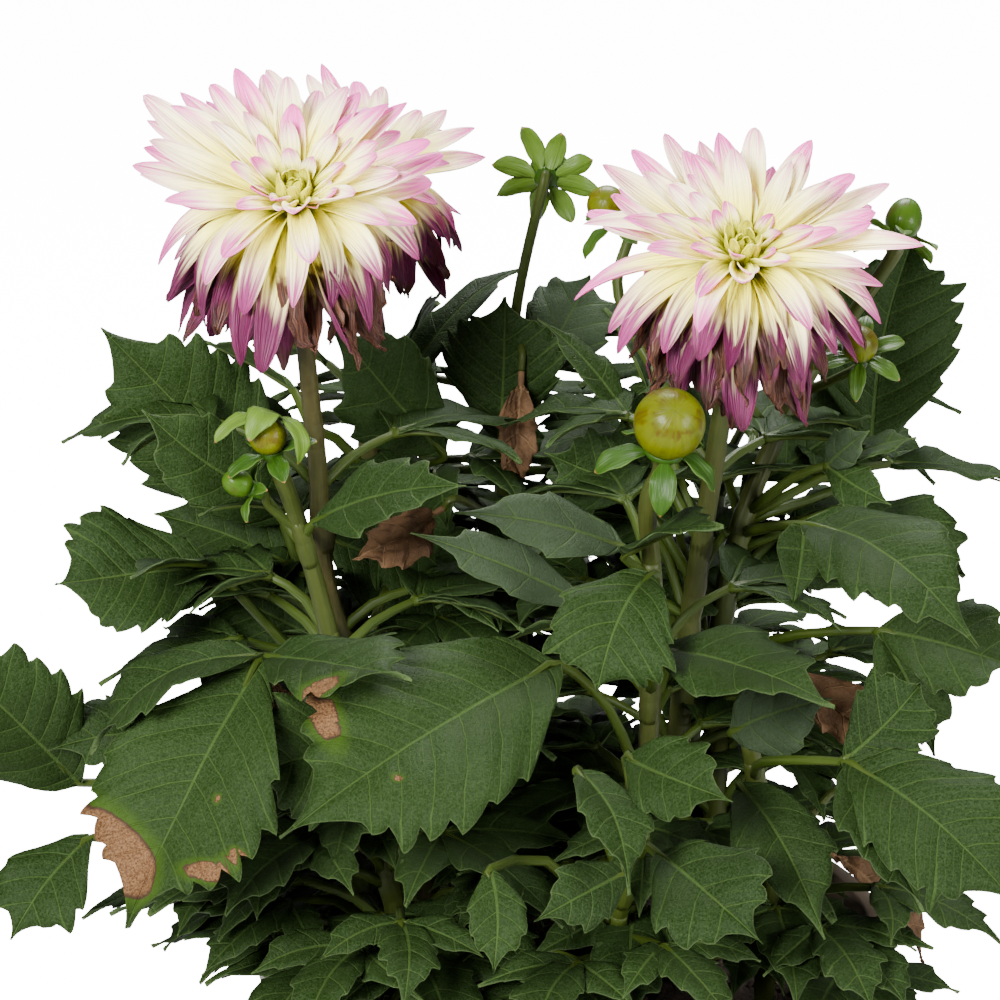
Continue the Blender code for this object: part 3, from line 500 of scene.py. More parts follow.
# Each stem: its route, as its foot's (x, y, radius) and then (x, y, z, radius), the purple flush, and the
# bloom or bud that it ends in. Each branch: its height on the stem, its route and its bud. Each leaf: its
# height on the stem, petiole points, then leaflets, each with its tip, width, the way it faces, its arch
# and its teeth. Each spray is a leaf of three leaflets: its height, azimuth, the petiole's reach and rise,
# and its size.
STEMS = {
    "leafy_stem_bud_left": {
        "route": ((-52, -44, 3.4), (-58, -45, 190, 3.4), (-76, -50, 280, 3.0), (-85, -58, 322, 2.7)),
        "flush": 0.35,
        "ends": ("bud_left",),
        "branches": ((322, ((-94, -62, 331, 1.4),), "green_bud_side"),),
        "leaves": (
            (320, ((-81, -62, 326),), (((-34, -95, 350), 24, FACE_LEFT, 0.06, 3),)),
            (316, ((-97, -48, 330),), (((-132, -66, 364), 27, FACE_VIEW, 0.02, 3),)),
            (246, ((-82, -62, 272), (-96, -75, 287)), (
                ((-136, -126, 220), 58, (-0.25, -0.7, 0.65), 0.1, 6),
                ((-148, -92, 262), 30, (-0.45, -0.3, 0.85), 0.2, 3),
                ((-50, -118, 297), 38, FACE_RIGHT, 0.05, 4),
            )),
            (232, ((-62, -72, 258),), (((-100, -98, 258), 38, FACE_VIEW, 0.1, 4),)),
        ),
        "sprays": (
            (166, 250, 40, 26, 46), (196, 205, 38, 16, 44), (178, 272, 44, 26, 40), (280, 165, 20, 22, 42),
            (264, 122, 26, 24, 44),
        ),
    },
    "leafy_stem_bloom_left": {
        "route": (
            (-42, -14, 3.6), (-56, -20, 215, 3.5), (-78, -25, 288, 3.2), (-81, -30, 335, 3.0),
            (-84, -38, 380, 2.8),
        ),
        "flush": 0.9,
        "ends": ("bloom_left",),
        "leaves": (
            (256, ((-86, -8, 285), (-94, 8, 300)), (((-149, -10, 372), 48, (-0.1, -0.85, 0.5), 0.05, 6),)),
            (236, ((-95, -26, 275), (-114, -32, 300)), (
                ((-161, -60, 305), 44, (-0.1, -0.75, 0.65), 0.04, 5),
                ((-136, -78, 314), 17, FACE_LEFT, 0.06, 2),
            )),
            (310, ((-73, -8, 316),), (((-44, 0, 288), 36, (0.1, -0.8, 0.6), 0.1, 3),)),
            (345, ((-88, -20, 354),), (((-118, -6, 366), 22, FACE_BACK, 0.05, 2),)),
            (264, ((-88, 6, 284),), (((-136, 16, 300), 34, FACE_VIEW, 0.08, 4),)),
            (262, ((-80, -6, 282), (-82, 8, 296)), (((-34, 16, 268), 40, FACE_VIEW, 0.06, 5),)),
            (240, ((-76, -12, 264),), (((-122, -4, 284), 34, FACE_VIEW, 0.06, 4),)),
        ),
        "sprays": (
            (206, 165, 36, 40, 40), (255, 62, 20, 30, 44), (268, 168, 34, 22, 46), (238, 196, 44, 38, 46),
        ),
    },
    "leafy_stem_bloom_back": {
        "route": ((-32, 26, 3.4), (-48, 30, 220, 3.3), (-67, 35, 309, 3.0), (-64, 42, 355, 2.8)),
        "flush": 0.8,
        "ends": ("bloom_back",),
        "leaves": (
            (296, ((-52, 26, 312), (-42, 16, 320)), (((-78, -2, 372), 34, FACE_VIEW, 0.05, 3),)),
            (312, ((-57, 42, 330),), (((-15, 76, 366), 15, FACE_SKY, 0.15, 2),)),
            (320, ((-57, 55, 337),), (((-44, 86, 350), 28, (0.0, 0.8, 0.5), 0.06, 3),)),
            (330, ((-80, 50, 340),), (((-114, 56, 352), 26, FACE_BACK, 0.06, 3),)),
        ),
        "sprays": (
            (205, 165, 40, 34, 52), (262, 120, 34, 26, 46), (250, 200, 30, 26, 40), (258, 300, 24, 8, 46),
            (232, 285, 30, 14, 46),
        ),
    },
    "leafy_stem_bud_back": {
        "route": ((-8, 38, 3.2), (-14, 42, 215, 3.1), (-23, 46, 300, 2.6), (-19, 50, 357, 1.8)),
        "flush": 0.25,
        "ends": ("green_bud_back",),
        "leaves": (
            (300, ((-24, 36, 318),), (((-22, 42, 366), 40, (0.0, -0.9, 0.4), 0.03, 5),)),
            (310, ((-14, 50, 334),), (((6, 70, 364), 30, (-0.1, -0.9, 0.4), 0.05, 3),)),
        ),
        "sprays": ((235, 75, 34, 32, 52), (262, 20, 30, 22, 40)),
    },
    "leafy_stem_bud_front": {
        "route": ((18, -30, 3.4), (22, -38, 220, 3.3), (24, -46, 290, 3.0), (21, -60, 330, 2.8)),
        "flush": 0.5,
        "ends": ("bud_front",),
        "leaves": (
            (296, ((24, -60, 308), (22, -70, 312)), (((5, -101, 286), 38, (-0.25, -0.8, 0.5), 0.22, 4),)),
            (304, ((14, -60, 314),), (((43, -88, 334), 26, FACE_SKY, 0.08, 2),)),
            (284, ((8, -46, 290), (1, -50, 295)), (((-51, -76, 328), 18, FACE_LEFT, 0.03, 2),)),
            (300, ((15, -42, 310),), (((-38, -58, 328), 20, FACE_LEFT, 0.06, 2),)),
            (225, ((10, -56, 262), (-6, -68, 282)), (((-89, -136, 254), 68, (-0.15, -0.7, 0.7), 0.08, 6),)),
            (262, ((24, -62, 282), (24, -74, 289)), (((75, -121, 290), 34, (0.1, -0.6, 0.8), 0.08, 3),)),
        ),
        "sprays": ((182, 222, 34, 24, 44), (236, 75, 34, 24, 46), (258, 110, 34, 24, 44)),
    },
    "leafy_stem_bloom_right": {
        "route": ((31, -4, 3.6), (33, -6, 215, 3.6), (37, -10, 274, 3.4), (45, -15, 340, 3.2)),
        "flush": 0.55,
        "ends": ("bloom_right",),
        "branches": ((322, ((30, 10, 342, 2.0), (14, 24, 372, 1.8)), "bud_opening"),),
        "leaves": (
            (300, ((25, 4, 325), (17, 10, 334)), (((-12, 24, 364), 13, (0.3, -0.6, 0.7), 0.1, 2),)),
            (300, ((28, 15, 330),), (((10, 42, 362), 20, FACE_BACK, 0.05, 2),)),
            (286, ((20, 8, 312),), (((-10, -8, 330), 26, FACE_VIEW, 0.05, 3),)),
            (280, ((34, 18, 294),), (((-4, 38, 300), 34, FACE_VIEW, 0.08, 4),)),
        ),
        "sprays": (
            (222, 150, 22, 30, 36), (246, 55, 32, 22, 48), (270, 118, 30, 28, 46), (232, 12, 36, 16, 44),
        ),
    },
    "leafy_stem_right": {
        "route": (
            (47, 7, 3.9), (47, 6, 215, 3.8), (48, 6, 268, 3.6), (55, 11, 302, 3.3), (72, 26, 338, 2.9),
            (90, 35, 362, 2.4),
        ),
        "flush": 0.45,
        "ends": ("green_bud_behind",),
        "branches": ((338, ((82, 10, 348, 1.6),), "bud_right"),),
        "leaves": (
            (296, ((64, -8, 305), (71, -34, 315)), (
                ((120, -90, 296), 40, (0.2, -0.6, 0.8), 0.15, 4),
                ((67, -50, 294), 17, (0.0, -0.9, 0.3), 0.05, 0),
            )),
            (300, ((86, 32, 303), (98, 40, 310)), (((113, 60, 386), 50, (0.0, -0.9, 0.4), 0.03, 6),)),
            (300, ((80, 18, 312), (101, 20, 316)), (((150, 30, 303), 26, FACE_SKY, 0.06, 2),)),
            (255, ((72, -18, 272), (95, -30, 278)), (
                ((140, -52, 273), 34, (0.0, -0.7, 0.7), 0.05, 3),
                ((112, -56, 246), 24, (0.3, -0.8, 0.4), 0.08, 2),
            )),
            (302, ((70, 2, 318), (80, -4, 324)), (
                ((108, -6, 334), 14, FACE_SKY, 0.05, 2), ((92, -16, 340), 12, FACE_VIEW, 0.05, 2),
                ((99, -24, 318), 14, FACE_VIEW, 0.08, 2),
            )),
            (290, ((84, 10, 304),), (((124, -10, 288), 34, FACE_RIGHT, 0.1, 3),)),
            (298, ((50, 30, 308),), (((13, 50, 328), 38, FACE_VIEW, 0.06, 4),)),
            (300, ((62, 32, 306),), (((98, 54, 324), 34, FACE_VIEW, 0.08, 4),)),
        ),
        "sprays": (
            (214, 20, 40, 36, 46), (186, 52, 44, 26, 46), (246, 100, 34, 28, 48), (270, 45, 34, 22, 46),
        ),
    },
    "leafy_stem_low_right": {
        "route": ((62, -32, 3.4), (62, -38, 205, 3.2), (54, -50, 250, 2.8)),
        "flush": 0.3,
        "ends": (),
        "leaves": (
            (235, ((58, -74, 252), (80, -95, 261)), (
                ((128, -136, 234), 46, (0.1, -0.6, 0.8), 0.12, 5),
                ((102, -131, 228), 24, (0.1, -0.8, 0.5), 0.08, 3),
                ((104, -84, 282), 26, FACE_VIEW, 0.08, 3),
            )),
            (225, ((50, -72, 244),), (((74, -121, 214), 28, (0.0, -0.8, 0.6), 0.12, 3),)),
            (249, ((48, -56, 254),), (((78, -76, 274), 30, FACE_VIEW, 0.06, 3),)),
        ),
        "sprays": ((180, 330, 38, 20, 44), (170, 290, 40, 24, 42), (174, 300, 38, 16, 42)),
    },
    "leafy_stem_front": {
        "route": ((8, -62, 3.2), (12, -74, 195, 3.0), (19, -94, 236, 2.8)),
        "flush": 0.1,
        "ends": (),
        "leaves": (
            (234, ((24, -103, 234),), (((54, -141, 222), 38, (0.2, -0.7, 0.7), 0.1, 3),)),
            (212, ((2, -90, 252), (-1, -100, 260)), (((14, -141, 238), 22, FACE_RIGHT, 0.12, 3),)),
            (232, ((14, -112, 232),), (((-14, -142, 230), 20, FACE_VIEW, 0.1, 3),)),
            (196, ((-10, -95, 228), (-27, -118, 236)), (((-26, -140, 212), 18, FACE_VIEW, 0.12, 3),)),
            (235, ((14, -94, 262),), (((45, -127, 262), 26, FACE_VIEW, 0.1, 3),)),
        ),
        "sprays": ((176, 250, 30, 18, 42), (186, 300, 30, 14, 40)),
    },
    "leafy_stem_low_left": {
        "route": ((-62, -16, 3.2), (-72, -20, 190, 3.0), (-96, -28, 228, 2.6)),
        "flush": 0.2,
        "ends": (),
        "leaves": (
            (222, ((-130, -34, 228), (-158, -40, 230)), (
                ((-200, -66, 290), 42, (-0.2, -0.8, 0.5), 0.05, 5),
            )),
            (212, ((-128, -50, 214), (-152, -60, 220)), (((-176, -84, 196), 30, FACE_LEFT, 0.12, 3),)),
            (224, ((-126, -30, 240),), (((-166, -52, 246), 28, FACE_LEFT, 0.16, 3),)),
        ),
        "sprays": ((176, 190, 44, 14, 48), (170, 232, 40, 22, 42)),
    },
    "leafy_stem_back_left": {
        "route": ((-38, 60, 3.2), (-50, 74, 230, 3.0), (-56, 84, 290, 2.2)),
        "flush": 0.2,
        "ends": (),
        "leaves": (),
        "sprays": (
            (180, 100, 42, 24, 52), (190, 150, 40, 30, 48), (240, 90, 30, 30, 46), (286, 130, 18, 26, 42),
            (284, 25, 34, 30, 48), (262, 325, 34, 24, 48), (268, 200, 34, 28, 46), (276, 168, 40, 14, 48),
        ),
    },
    "leafy_stem_back_right": {
        "route": ((34, 58, 3.2), (46, 70, 230, 3.0), (50, 78, 285, 2.2)),
        "flush": 0.2,
        "ends": (),
        "leaves": (),
        "sprays": (
            (180, 80, 42, 24, 52), (190, 30, 42, 30, 48), (240, 85, 30, 30, 46), (282, 50, 18, 26, 42),
            (284, 330, 30, 30, 50), (283, 10, 36, 36, 48), (280, 205, 34, 32, 50), (252, 18, 38, 22, 50),
            (256, 262, 30, 20, 50), (266, 150, 34, 26, 48), (262, 305, 36, 24, 50),
        ),
    },
}

# Each bloom: centre of its eye, axis that it faces along, petals kept of each layer, size and seed, then the
# share of their length that petals to the left, right, back and front have, how withered it is and on which
# side most
BLOOMS = {
    "bloom_left": (
        (-86, -45, 427), (-0.05, -0.50, 0.86), 1.0, 1.0, 3, (1.06, 0.80, 0.84, 1.12), 0.9, (0.9, -0.35, 0.0)
    ),
    "bloom_right": (
        (51, -25, 403), (0.04, -0.52, 0.85), 1.0, 1.03, 11, (0.93, 0.92, 0.82, 1.0), 0.85, (0.1, -0.4, 0.0)
    ),
    "bloom_back": (
        (-67, 52, 405), (0.34, -0.42, 0.84), 0.8, 0.88, 5, (0.95, 0.97, 0.90, 1.0), 0.3, (0.4, -0.4, 0.0)
    ),
}

# Each bud: centre of its ball, radius, axis, then its outer bracts: how many, their length, width, angle from
# the axis and paleness, which on the green bud at the back stands partly for painted light
BUDS = {
    "bud_front": ((27, -70, 361), 11.0, (0.12, -0.35, 0.93), 5, 15.5, 9.0, 124.0, 0.0),
    "bud_left": ((-94, -70, 357), 5.8, (-0.20, -0.35, 0.90), 5, 12.0, 7.0, 92.0, 0.0),
    "bud_right": ((89, -8, 366), 5.8, (-0.10, -0.60, 0.75), 6, 12.0, 6.0, 92.0, 0.2),
    "bud_opening": ((10, 24, 402), 6.5, (-0.55, -0.30, 0.78), 5, 13.0, 6.5, 98.0, 0.1),
    "green_bud_back": ((-8, 58, 404), 6.5, (0.16, 0.97, 0.14), 8, 15.5, 7.5, 84.0, 0.6),
    "green_bud_side": ((-103, -68, 341), 4.2, (-0.80, -0.30, 0.45), 4, 8.0, 4.0, 88.0, 0.1),
    "green_bud_behind": ((106, 40, 392), 6.0, (0.30, 0.55, 0.78), 6, 13.0, 6.0, 105.0, 0.35),
}
SEAT_RADIUS_SHARE = 0.62
CORE_FOOT = 14.0
STRAIGHT_BELOW_BLOOM = 11.0
STRAIGHT_BELOW_BALL = 1.3
INTO_HOLDER = 2.0

# Each withered leaf: its stem, height there, the end of its green stalk, its own tip, width and face
WITHERED = {
    "withered_leaf_left": (
        "leafy_stem_bud_back", 285, (-42, -16, 314), (-70, -42, 306), 20, (0.2, -0.9, 0.2)
    ),
    "withered_leaf_right": ("leafy_stem_right", 250, (66, -24, 262), (104, -48, 240), 22, (0.3, -0.8, 0.3)),
    "withered_leaf_back": ("leafy_stem_bud_back", 352, (-17, 32, 344), (-18, 16, 308), 15, (0.0, -0.9, 0.1)),
    "withered_leaf_low_left": ("leafy_stem_bud_left", 228, (-86, -44, 262), (-110, -54, 266), 16, FACE_VIEW),
    "withered_leaf_low_right": ("leafy_stem_low_right", 196, (88, -30, 218), (114, -36, 206), 16, FACE_VIEW),
    "withered_leaf_rim": ("leafy_stem_right", 178, (84, 2, 188), (117, -8, 150), 18, (0.6, -0.5, 0.6)),
}
DEAD_STALK_RADII = (1.6, 1.3, 1.2)
DEAD_STALK_STRAIGHT = 7.0
DEAD_STALK_FLUSH = 0.3

# A joint's swelling: places along it, as shares of its half length, and how wide it is there
JOINT_PLACES = (-1.5, -1.0, -0.5, 0.0, 0.5, 1.0, 1.5)
JOINT_WIDTHS = vector((0.93, 1.0, 1.07, 1.12, 1.07, 1.0, 0.93))
JOINT_HALF_LENGTH = 4.0

# Streaks are long thin marks: noise of the place across a surface, hardly changing along it.
tree, taken, given = group("streaks", {"Along": 0.0, "Across": 0.0, "Count": 8.0, "Shift": 0.0}, ("Amount",))
feeds = {"X": times(taken["Across"], taken["Count"]), "Y": taken["Along"], "Z": taken["Shift"]}
lines = put(tree, "ShaderNodeCombineXYZ", feeds).outputs[0]
noise = put(tree, "ShaderNodeTexNoise", {"Vector": lines, "Scale": 1.0, "Detail": 2.0})
tree.links.new(smooth_step(noise.outputs["Fac"], 0.3, 0.7), given["Amount"])


def streaks(along, across, count, shift=0.0):
    """Streaks that run along, count of them to a unit across."""
    feeds = {"Along": along, "Across": across, "Count": count, "Shift": shift}
    return use(along.id_data, "streaks", feeds)["Amount"]


stalk_finish, tree, shader = finish_material("stalk", 0.46, Specular_IOR_Level=0.10)
place = object_place(tree)
rib = streaks(attribute(tree, "along"), attribute(tree, "round"), 2.2)
spots = mottle(place, 420.0, 0.6)
patches = mottle(place, 35.0, 0.5)
share = times(attribute(tree, "flush"), plus(0.45, times(patches, 0.6)))
skin = blend(share, blend(patches, *STALK_YOUNG), blend(spots, *STALK_PURPLE))
# The raised ribs are painted paler, as a highlight on them
wire(shader, Base_Color=coat(skin, rib, *STALK_RIB_HIGHLIGHT))
relief(shader, rib, 0.25)


def smooth(points, steps):
    """A smooth curve through the points, by Catmull and Rom's spline, with steps pieces to each span."""
    p = np.vstack((2 * points[0] - points[1], points, 2 * points[-1] - points[-2]))
    t = np.linspace(0.0, 1.0, steps, endpoint=False)[:, None, None]
    a, b, c, d = p[:-3], p[1:-2], p[2:-1], p[3:]
    spans = b + 0.5 * ((c - a) * t + (2 * a - 5 * b + 4 * c - d) * t ** 2 + (3 * b - a - 3 * c + d) * t ** 3)
    return np.vstack((spans.transpose(1, 0, 2).reshape(-1, p.shape[1]), points[-1]))


def stalk(route, radii, sides, flush, steps=6):
    """A round tube along a smooth route. Its rings keep the same side turned one way, by taking the
    tangent's share out of one fixed direction.
    """
    rows = smooth(np.column_stack((vector(route), radii)), steps)
    path, radius = rows[:, :3], rows[:, 3]
    tangents = unit(np.gradient(path, axis=0))
    mean = np.abs(tangents.mean(axis=0))
    fixed = np.eye(3)[mean.argmin()] + (0.01, 0.02, 0.03)
    across = unit(fixed - tangents * (tangents @ fixed)[:, None])
    circle = circles(across, np.cross(tangents, across), sides)
    along = np.concatenate(((0.0,), np.cumsum(np.linalg.norm(np.diff(path, axis=0), axis=1))))
    rings = path[:, None] + radius[:, None, None] * circle
    around = 1.5 * np.abs(np.linspace(-1, 1, sides, endpoint=False))
    return shell(rings, along=along[:, None] / STREAK_LENGTH, round=around, flush=flush)


def bud_seat(name):
    """The point and axis where a bud's ball sits on its receptacle."""
    centre, radius, axis, *_ = BUDS[name]
    axis = unit(vector(axis))
    return vector(centre) - radius * math.sqrt(1 - SEAT_RADIUS_SHARE ** 2) * axis, axis


def bloom_seat(name):
    """The point and axis where a bloom's core sits on its calyx."""
    centre, axis, _, size, *_ = BLOOMS[name]
    axis = unit(vector(axis))
    return vector(centre) - size * CORE_FOOT * axis, axis


def holder_points(name):
    """Two points that bring a stem straight into the underside of a bloom's or a bud's receptacle."""
    if name in BLOOMS:
        seat, axis = bloom_seat(name)
        straight = STRAIGHT_BELOW_BLOOM
    else:
        seat, axis = bud_seat(name)
        straight = min(STRAIGHT_BELOW_BLOOM, STRAIGHT_BELOW_BALL * BUDS[name][1])
    return seat - straight * axis, seat - INTO_HOLDER * axis


def stem_route(name):
    """The points and radii of a stem, which stands upright where it passes through the soil."""
    (x, y, radius), *rest = STEMS[name]["route"]
    rows = [(x, y, STEM_FOOT, radius), (x, y, STEM_CLEAR_OF_SOIL, radius), *rest]
    for end in STEMS[name]["ends"]:
        rows += [(*point, rest[-1][3]) for point in holder_points(end)]
    rows = vector(rows)
    return rows[:, :3], rows[:, 3]


def on_stem(points, height):
    """The place on a stem at a height, straight between its points."""
    return np.array([np.interp(height, points[:, 2], points[:, i]) for i in range(3)])


def joint_stalks(name):
    """A stem with its branches and the stalks of its withered leaves, and a small swelling where each leaf
    grows.
    """
    stem = STEMS[name]
    points, radii = stem_route(name)
    flush = stem["flush"]
    parts = [stalk(points, radii, STEM_SIDES, flush, STEM_STEPS)]
    for height, route, end in stem.get("branches", ()):
        rows = vector(route)
        path = [on_stem(points, height), *rows[:, :3], *holder_points(end)]
        thin = [rows[0][3] * BRANCH_FOOT, *rows[:, 3], *(2 * [rows[-1][3]])]
        parts.append(stalk(path, thin, PETIOLE_SIDES, BRANCH_FLUSH * flush))
    for carrier, height, joint, tip, *_ in WITHERED.values():
        if carrier == name:
            before = vector(joint) - DEAD_STALK_STRAIGHT * unit(vector(tip) - joint)
            path = (on_stem(points, height), before, joint)
            parts.append(stalk(path, DEAD_STALK_RADII, PETIOLE_SIDES, DEAD_STALK_FLUSH))
    for height, *_ in [*stem["leaves"], *stem["sprays"]]:
        at, above = on_stem(points, height), on_stem(points, height + JOINT_HALF_LENGTH)
        wide = np.interp(height, points[:, 2], radii)
        collar = at + np.outer(JOINT_PLACES, above - at)
        parts.append(stalk(collar, wide * JOINT_WIDTHS, STEM_SIDES, flush, 1))
    return parts


# The leaves
# Dark matt green leaflets, cut into a few forward teeth, with a pale midrib that is a groove above and a
# ridge below, side veins that run to the teeth, and a pale grey-green underside.

# Rows of the grid between one tooth and the next, on large and on small leaflets, and the teeth's shape there
FINE_ROWS = vector((0.2, 0.4, 0.6, 0.72, 0.80, 0.88, 1.0))
COARSE_ROWS = vector((0.4, 0.68, 0.80, 0.90, 1.0))
TOOTH_PHASES = (0.0, 0.2, 0.5, 0.72, 0.80, 0.88, 1.0)
TOOTH_HEIGHTS = (0.0, 0.42, 0.84, 0.98, 1.0, 0.40, 0.0)
VEIN_AT = 0.80

# Shares of a leaflet's length: where its teeth begin and end, by how much they are scattered, where it is
# widest, and then the power of its taper
FIRST_TOOTH = 0.06
LAST_TOOTH = 0.74
TOOTH_SCATTER = 0.010
LEAST_VEINS = 2
LEAF_OUTLINE = (0.26, 1.65)
BROAD_FOOT = 0.12
TAPER_VARIES = (0.78, 1.12)
WIDEST_VARIES = (0.85, 1.15)

# Shares of its width: the longest tooth, the quilting between veins, the ripple at its margin, its wrinkles
TOOTH_SHARE = 0.112
TOOTH_SIZES = (0.25, 1.25)
LOWEST_TEETH = 0.25
QUILTING = 0.011
RIPPLE = 0.05
RIPPLES = 2.1
WRINKLE = 0.010
WRINKLE_SIZE = 0.55

# How it bends: its fold at the midrib, the droop of its sides, and its sideways sway, twist and curl
BLADE_FOLD = math.radians(17.0)
SIDES_DROOP = 0.35
SWAY_TWIST_CURL = (0.025, 0.22, 0.14)
VEIN_LEAN = 0.85
TOOTH_LEAN = 0.42
LEAST_HALF_WIDTH = 0.2
BLADE_THICKNESS = 0.7
EDGE_THICKNESS = 0.45
BURN_FADE = 0.6

# Columns of the grid by the leaflet's width, and the widths from which it has more fine veins and silver down
LARGE_COLUMNS, SMALL_COLUMNS, SPRAY_COLUMNS = 15, 9, 7
LARGE_LEAF = 45.0
FINE_VEINS = 3
FEW_FINE_VEINS = 2
SMALL_LEAF = 20.0
SILVERY_BELOW = 32.0
SILVERY_ABOVE = 0.80
SILVERY_TONE = 2.0
# Sprays take only the darker end of the leaf greens: painted shade for the inside and the lower part of the
# plant
SPRAY_PAINTED_SHADE = 0.4

# The petiole, and the ridge that runs on from it: places along the leaflet, depths below it and radii
PETIOLE_RADIUS = 1.5
PETIOLE_TAPER = (1.30, 0.95)
RIB_PLACES = vector((0.12, 0.3, 0.5, 0.7, 0.86))
RIB_DEPTHS = vector((0.30, 0.75, 0.65, 0.55, 0.45))
RIB_RADII = (1.05, 0.8, 0.6, 0.45, 0.3)
RIB_SIDES = 6
RIB_FLUSH = 0.05
RIB_THIN_BELOW = 40.0
RIB_THIN = 0.7
RIB_FINE_FROM = 52.0

LEAF_GREENS = (0.0024, 0.0080, 0.0006), (0.0066, 0.0162, 0.0017)
LEAF_WAX = 0.56, (0.021, 0.033, 0.013)
LEAF_SPECK = 0.38, (0.0012, 0.0050, 0.0003)
LEAF_NET = 0.08, (0.019, 0.034, 0.008)
LEAF_SILVER = (0.021, 0.029, 0.018)
LEAF_VEIN = 0.52, (0.027, 0.048, 0.011)
LEAF_UNDERSIDE = (0.018, 0.031, 0.010)
LEAF_VEIN_BELOW = 0.6, (0.043, 0.061, 0.021)
LEAF_RIM = 0.45, (0.036, 0.054, 0.019)
BURNT_BROWNS = (0.034, 0.016, 0.007), (0.084, 0.045, 0.020)
BURNT_EDGE = (0.018, 0.010, 0.006)
BURNT_ROUND = (0.014, 0.029, 0.003)

# Brown burnt spots on four of the leaves: for a stem and the number of a leaf and of its leaflet, each
# spot's place along the leaflet, its place across from -1 to 1, and its size
BURNS = {
    ("leafy_stem_bud_left", 2, 0): (
        (0.80, 1.0, 10.0), (0.74, -1.0, 3.6), (0.66, -1.0, 2.6), (0.52, -0.40, 1.6)
    ),
    ("leafy_stem_bud_left", 2, 2): ((0.66, 1.0, 4.4),),
    ("leafy_stem_bud_front", 4, 0): ((0.70, 1.0, 5.2), (0.66, -0.40, 1.5)),
    ("leafy_stem_bud_front", 5, 0): ((0.16, 1.0, 4.0),),
}

# Veins: the midrib, the side veins that end in teeth, and the finer ones between. Flow counts side veins
# from base to tip and Minor counts the finer ones; each is a whole number on a vein.
VEIN_INPUTS = {"Rib": 0.0, "Flow": 0.0, "Minor": 0.0, "Spacing": 8.0, "Pitch": 3.0, "Along": 0.0}
tree, taken, given = group("leaf_veins", {**VEIN_INPUTS, "Wander": 0.5}, ("Lines", "Pillow"))
thin = minus(1.10, times(taken["Along"], 0.80))
midrib = smooth_step(taken["Rib"], thin, times(thin, 0.3))
sway = times(minus(taken["Wander"], 0.5), 0.22)
from_vein = maths("PINGPONG", plus(taken["Flow"], sway), 0.5)
side = smooth_step(times(from_vein, taken["Spacing"]), 0.36, 0.08)
minor = times(maths("PINGPONG", plus(taken["Minor"], times(sway, 3.0)), 0.5), taken["Pitch"])
fine = times(smooth_step(minor, 0.24, 0.06), 0.30)
side = maths("MAXIMUM", times(side, 0.74), fine)
tree.links.new(maths("MAXIMUM", midrib, side), given["Lines"])
tree.links.new(smooth_step(times(from_vein, 2.0), 0.0, 0.7), given["Pillow"])


def vein_sockets(tree, place):
    """The veins group fed with a blade's attributes."""
    feeds = {key: attribute(tree, key.lower()) for key in VEIN_INPUTS}
    feeds["Wander"] = put(tree, "ShaderNodeTexNoise", {"Vector": place, "Scale": 90.0}).outputs["Fac"]
    return use(tree, "leaf_veins", feeds)


leaf_finish, tree, shader = finish_material("leaf_skin", 0.5, Specular_IOR_Level=0.03)
place = object_place(tree)
under = attribute(tree, "under")
veins = vein_sockets(tree, place)
cells = mottle(place, 1600.0, 0.72)
cloud = mottle(place, 45.0, 0.5)
net = put(tree, "ShaderNodeTexVoronoi", {"Vector": place, "Scale": 420.0}, feature="DISTANCE_TO_EDGE")
net = smooth_step(net.outputs["Distance"], 0.10, 0.0)
tone = attribute(tree, "tone")
green = blend(plus(times(cloud, 0.4), times(tone, 0.6)), *LEAF_GREENS)
green = coat(green, cells, *LEAF_WAX)
green = coat(green, mottle(place, 950.0, 0.6), *LEAF_SPECK)
green = coat(green, net, *LEAF_NET)
down = times(smooth_step(tone, 1.2, 1.6), plus(0.40, times(cells, 0.35)))
green = blend(down, green, LEAF_SILVER)
green = coat(green, veins["Lines"], *LEAF_VEIN)
skin = blend(under, green, coat(LEAF_UNDERSIDE, veins["Lines"], *LEAF_VEIN_BELOW))
skin = coat(skin, smooth_step(attribute(tree, "edge"), 0.30, 0.05), *LEAF_RIM)
ragged = plus(attribute(tree, "burn"), times(minus(cloud, 0.5), 0.18))
burnt = blend(smooth_step(ragged, 0.50, 0.41), blend(cells, *BURNT_BROWNS), BURNT_EDGE)
skin = blend(smooth_step(ragged, 0.0, 0.42), skin, BURNT_ROUND)
skin = blend(smooth_step(ragged, 0.38, 0.42), skin, burnt)
wire(shader, Base_Color=skin, Roughness=plus(0.44, times(cells, 0.20)))
raised = minus(times(under, 2.0), 1.0)
height = minus(veins["Lines"], times(veins["Pillow"], 0.5))
relief(shader, plus(times(height, raised), times(minus(cells, net), 0.26)), 0.28)


def sideways(direction, face):
    """The unit vector across a blade that runs along direction and turns its upper side to face."""
    across = np.cross(direction, face)
    if np.linalg.norm(across) < 1e-6:
        across = np.cross(direction, (1.0, 0.0, 0.0))
    return unit(across)


def blade_rows(teeth, fine, draw):
    """The rows of a leaflet's grid: their places along it, their phase from 0 to 1 in the cell that each
    belongs to, and the number of that cell, then the cells' lengths. There is a cell for each tooth, one
    before the first and one after the last, at nearly even spacing.
    """
    steps = max(teeth, LEAST_VEINS)
    edges = np.linspace(FIRST_TOOTH, LAST_TOOTH, steps + 1) + draw.normal(size=steps + 1) * TOOTH_SCATTER
    edges = np.concatenate(((0.0,), edges, (1.0,)))
    rows = FINE_ROWS if fine else COARSE_ROWS
    v = np.concatenate(((0.0,), (edges[:-1, None] + np.diff(edges)[:, None] * rows).ravel()))[:, None]
    phase = np.concatenate(((0.0,), np.tile(rows, steps + 2)))
    cell = np.concatenate(((0,), np.repeat(np.arange(steps + 2), len(rows))))
    return v, phase, cell, np.diff(edges)


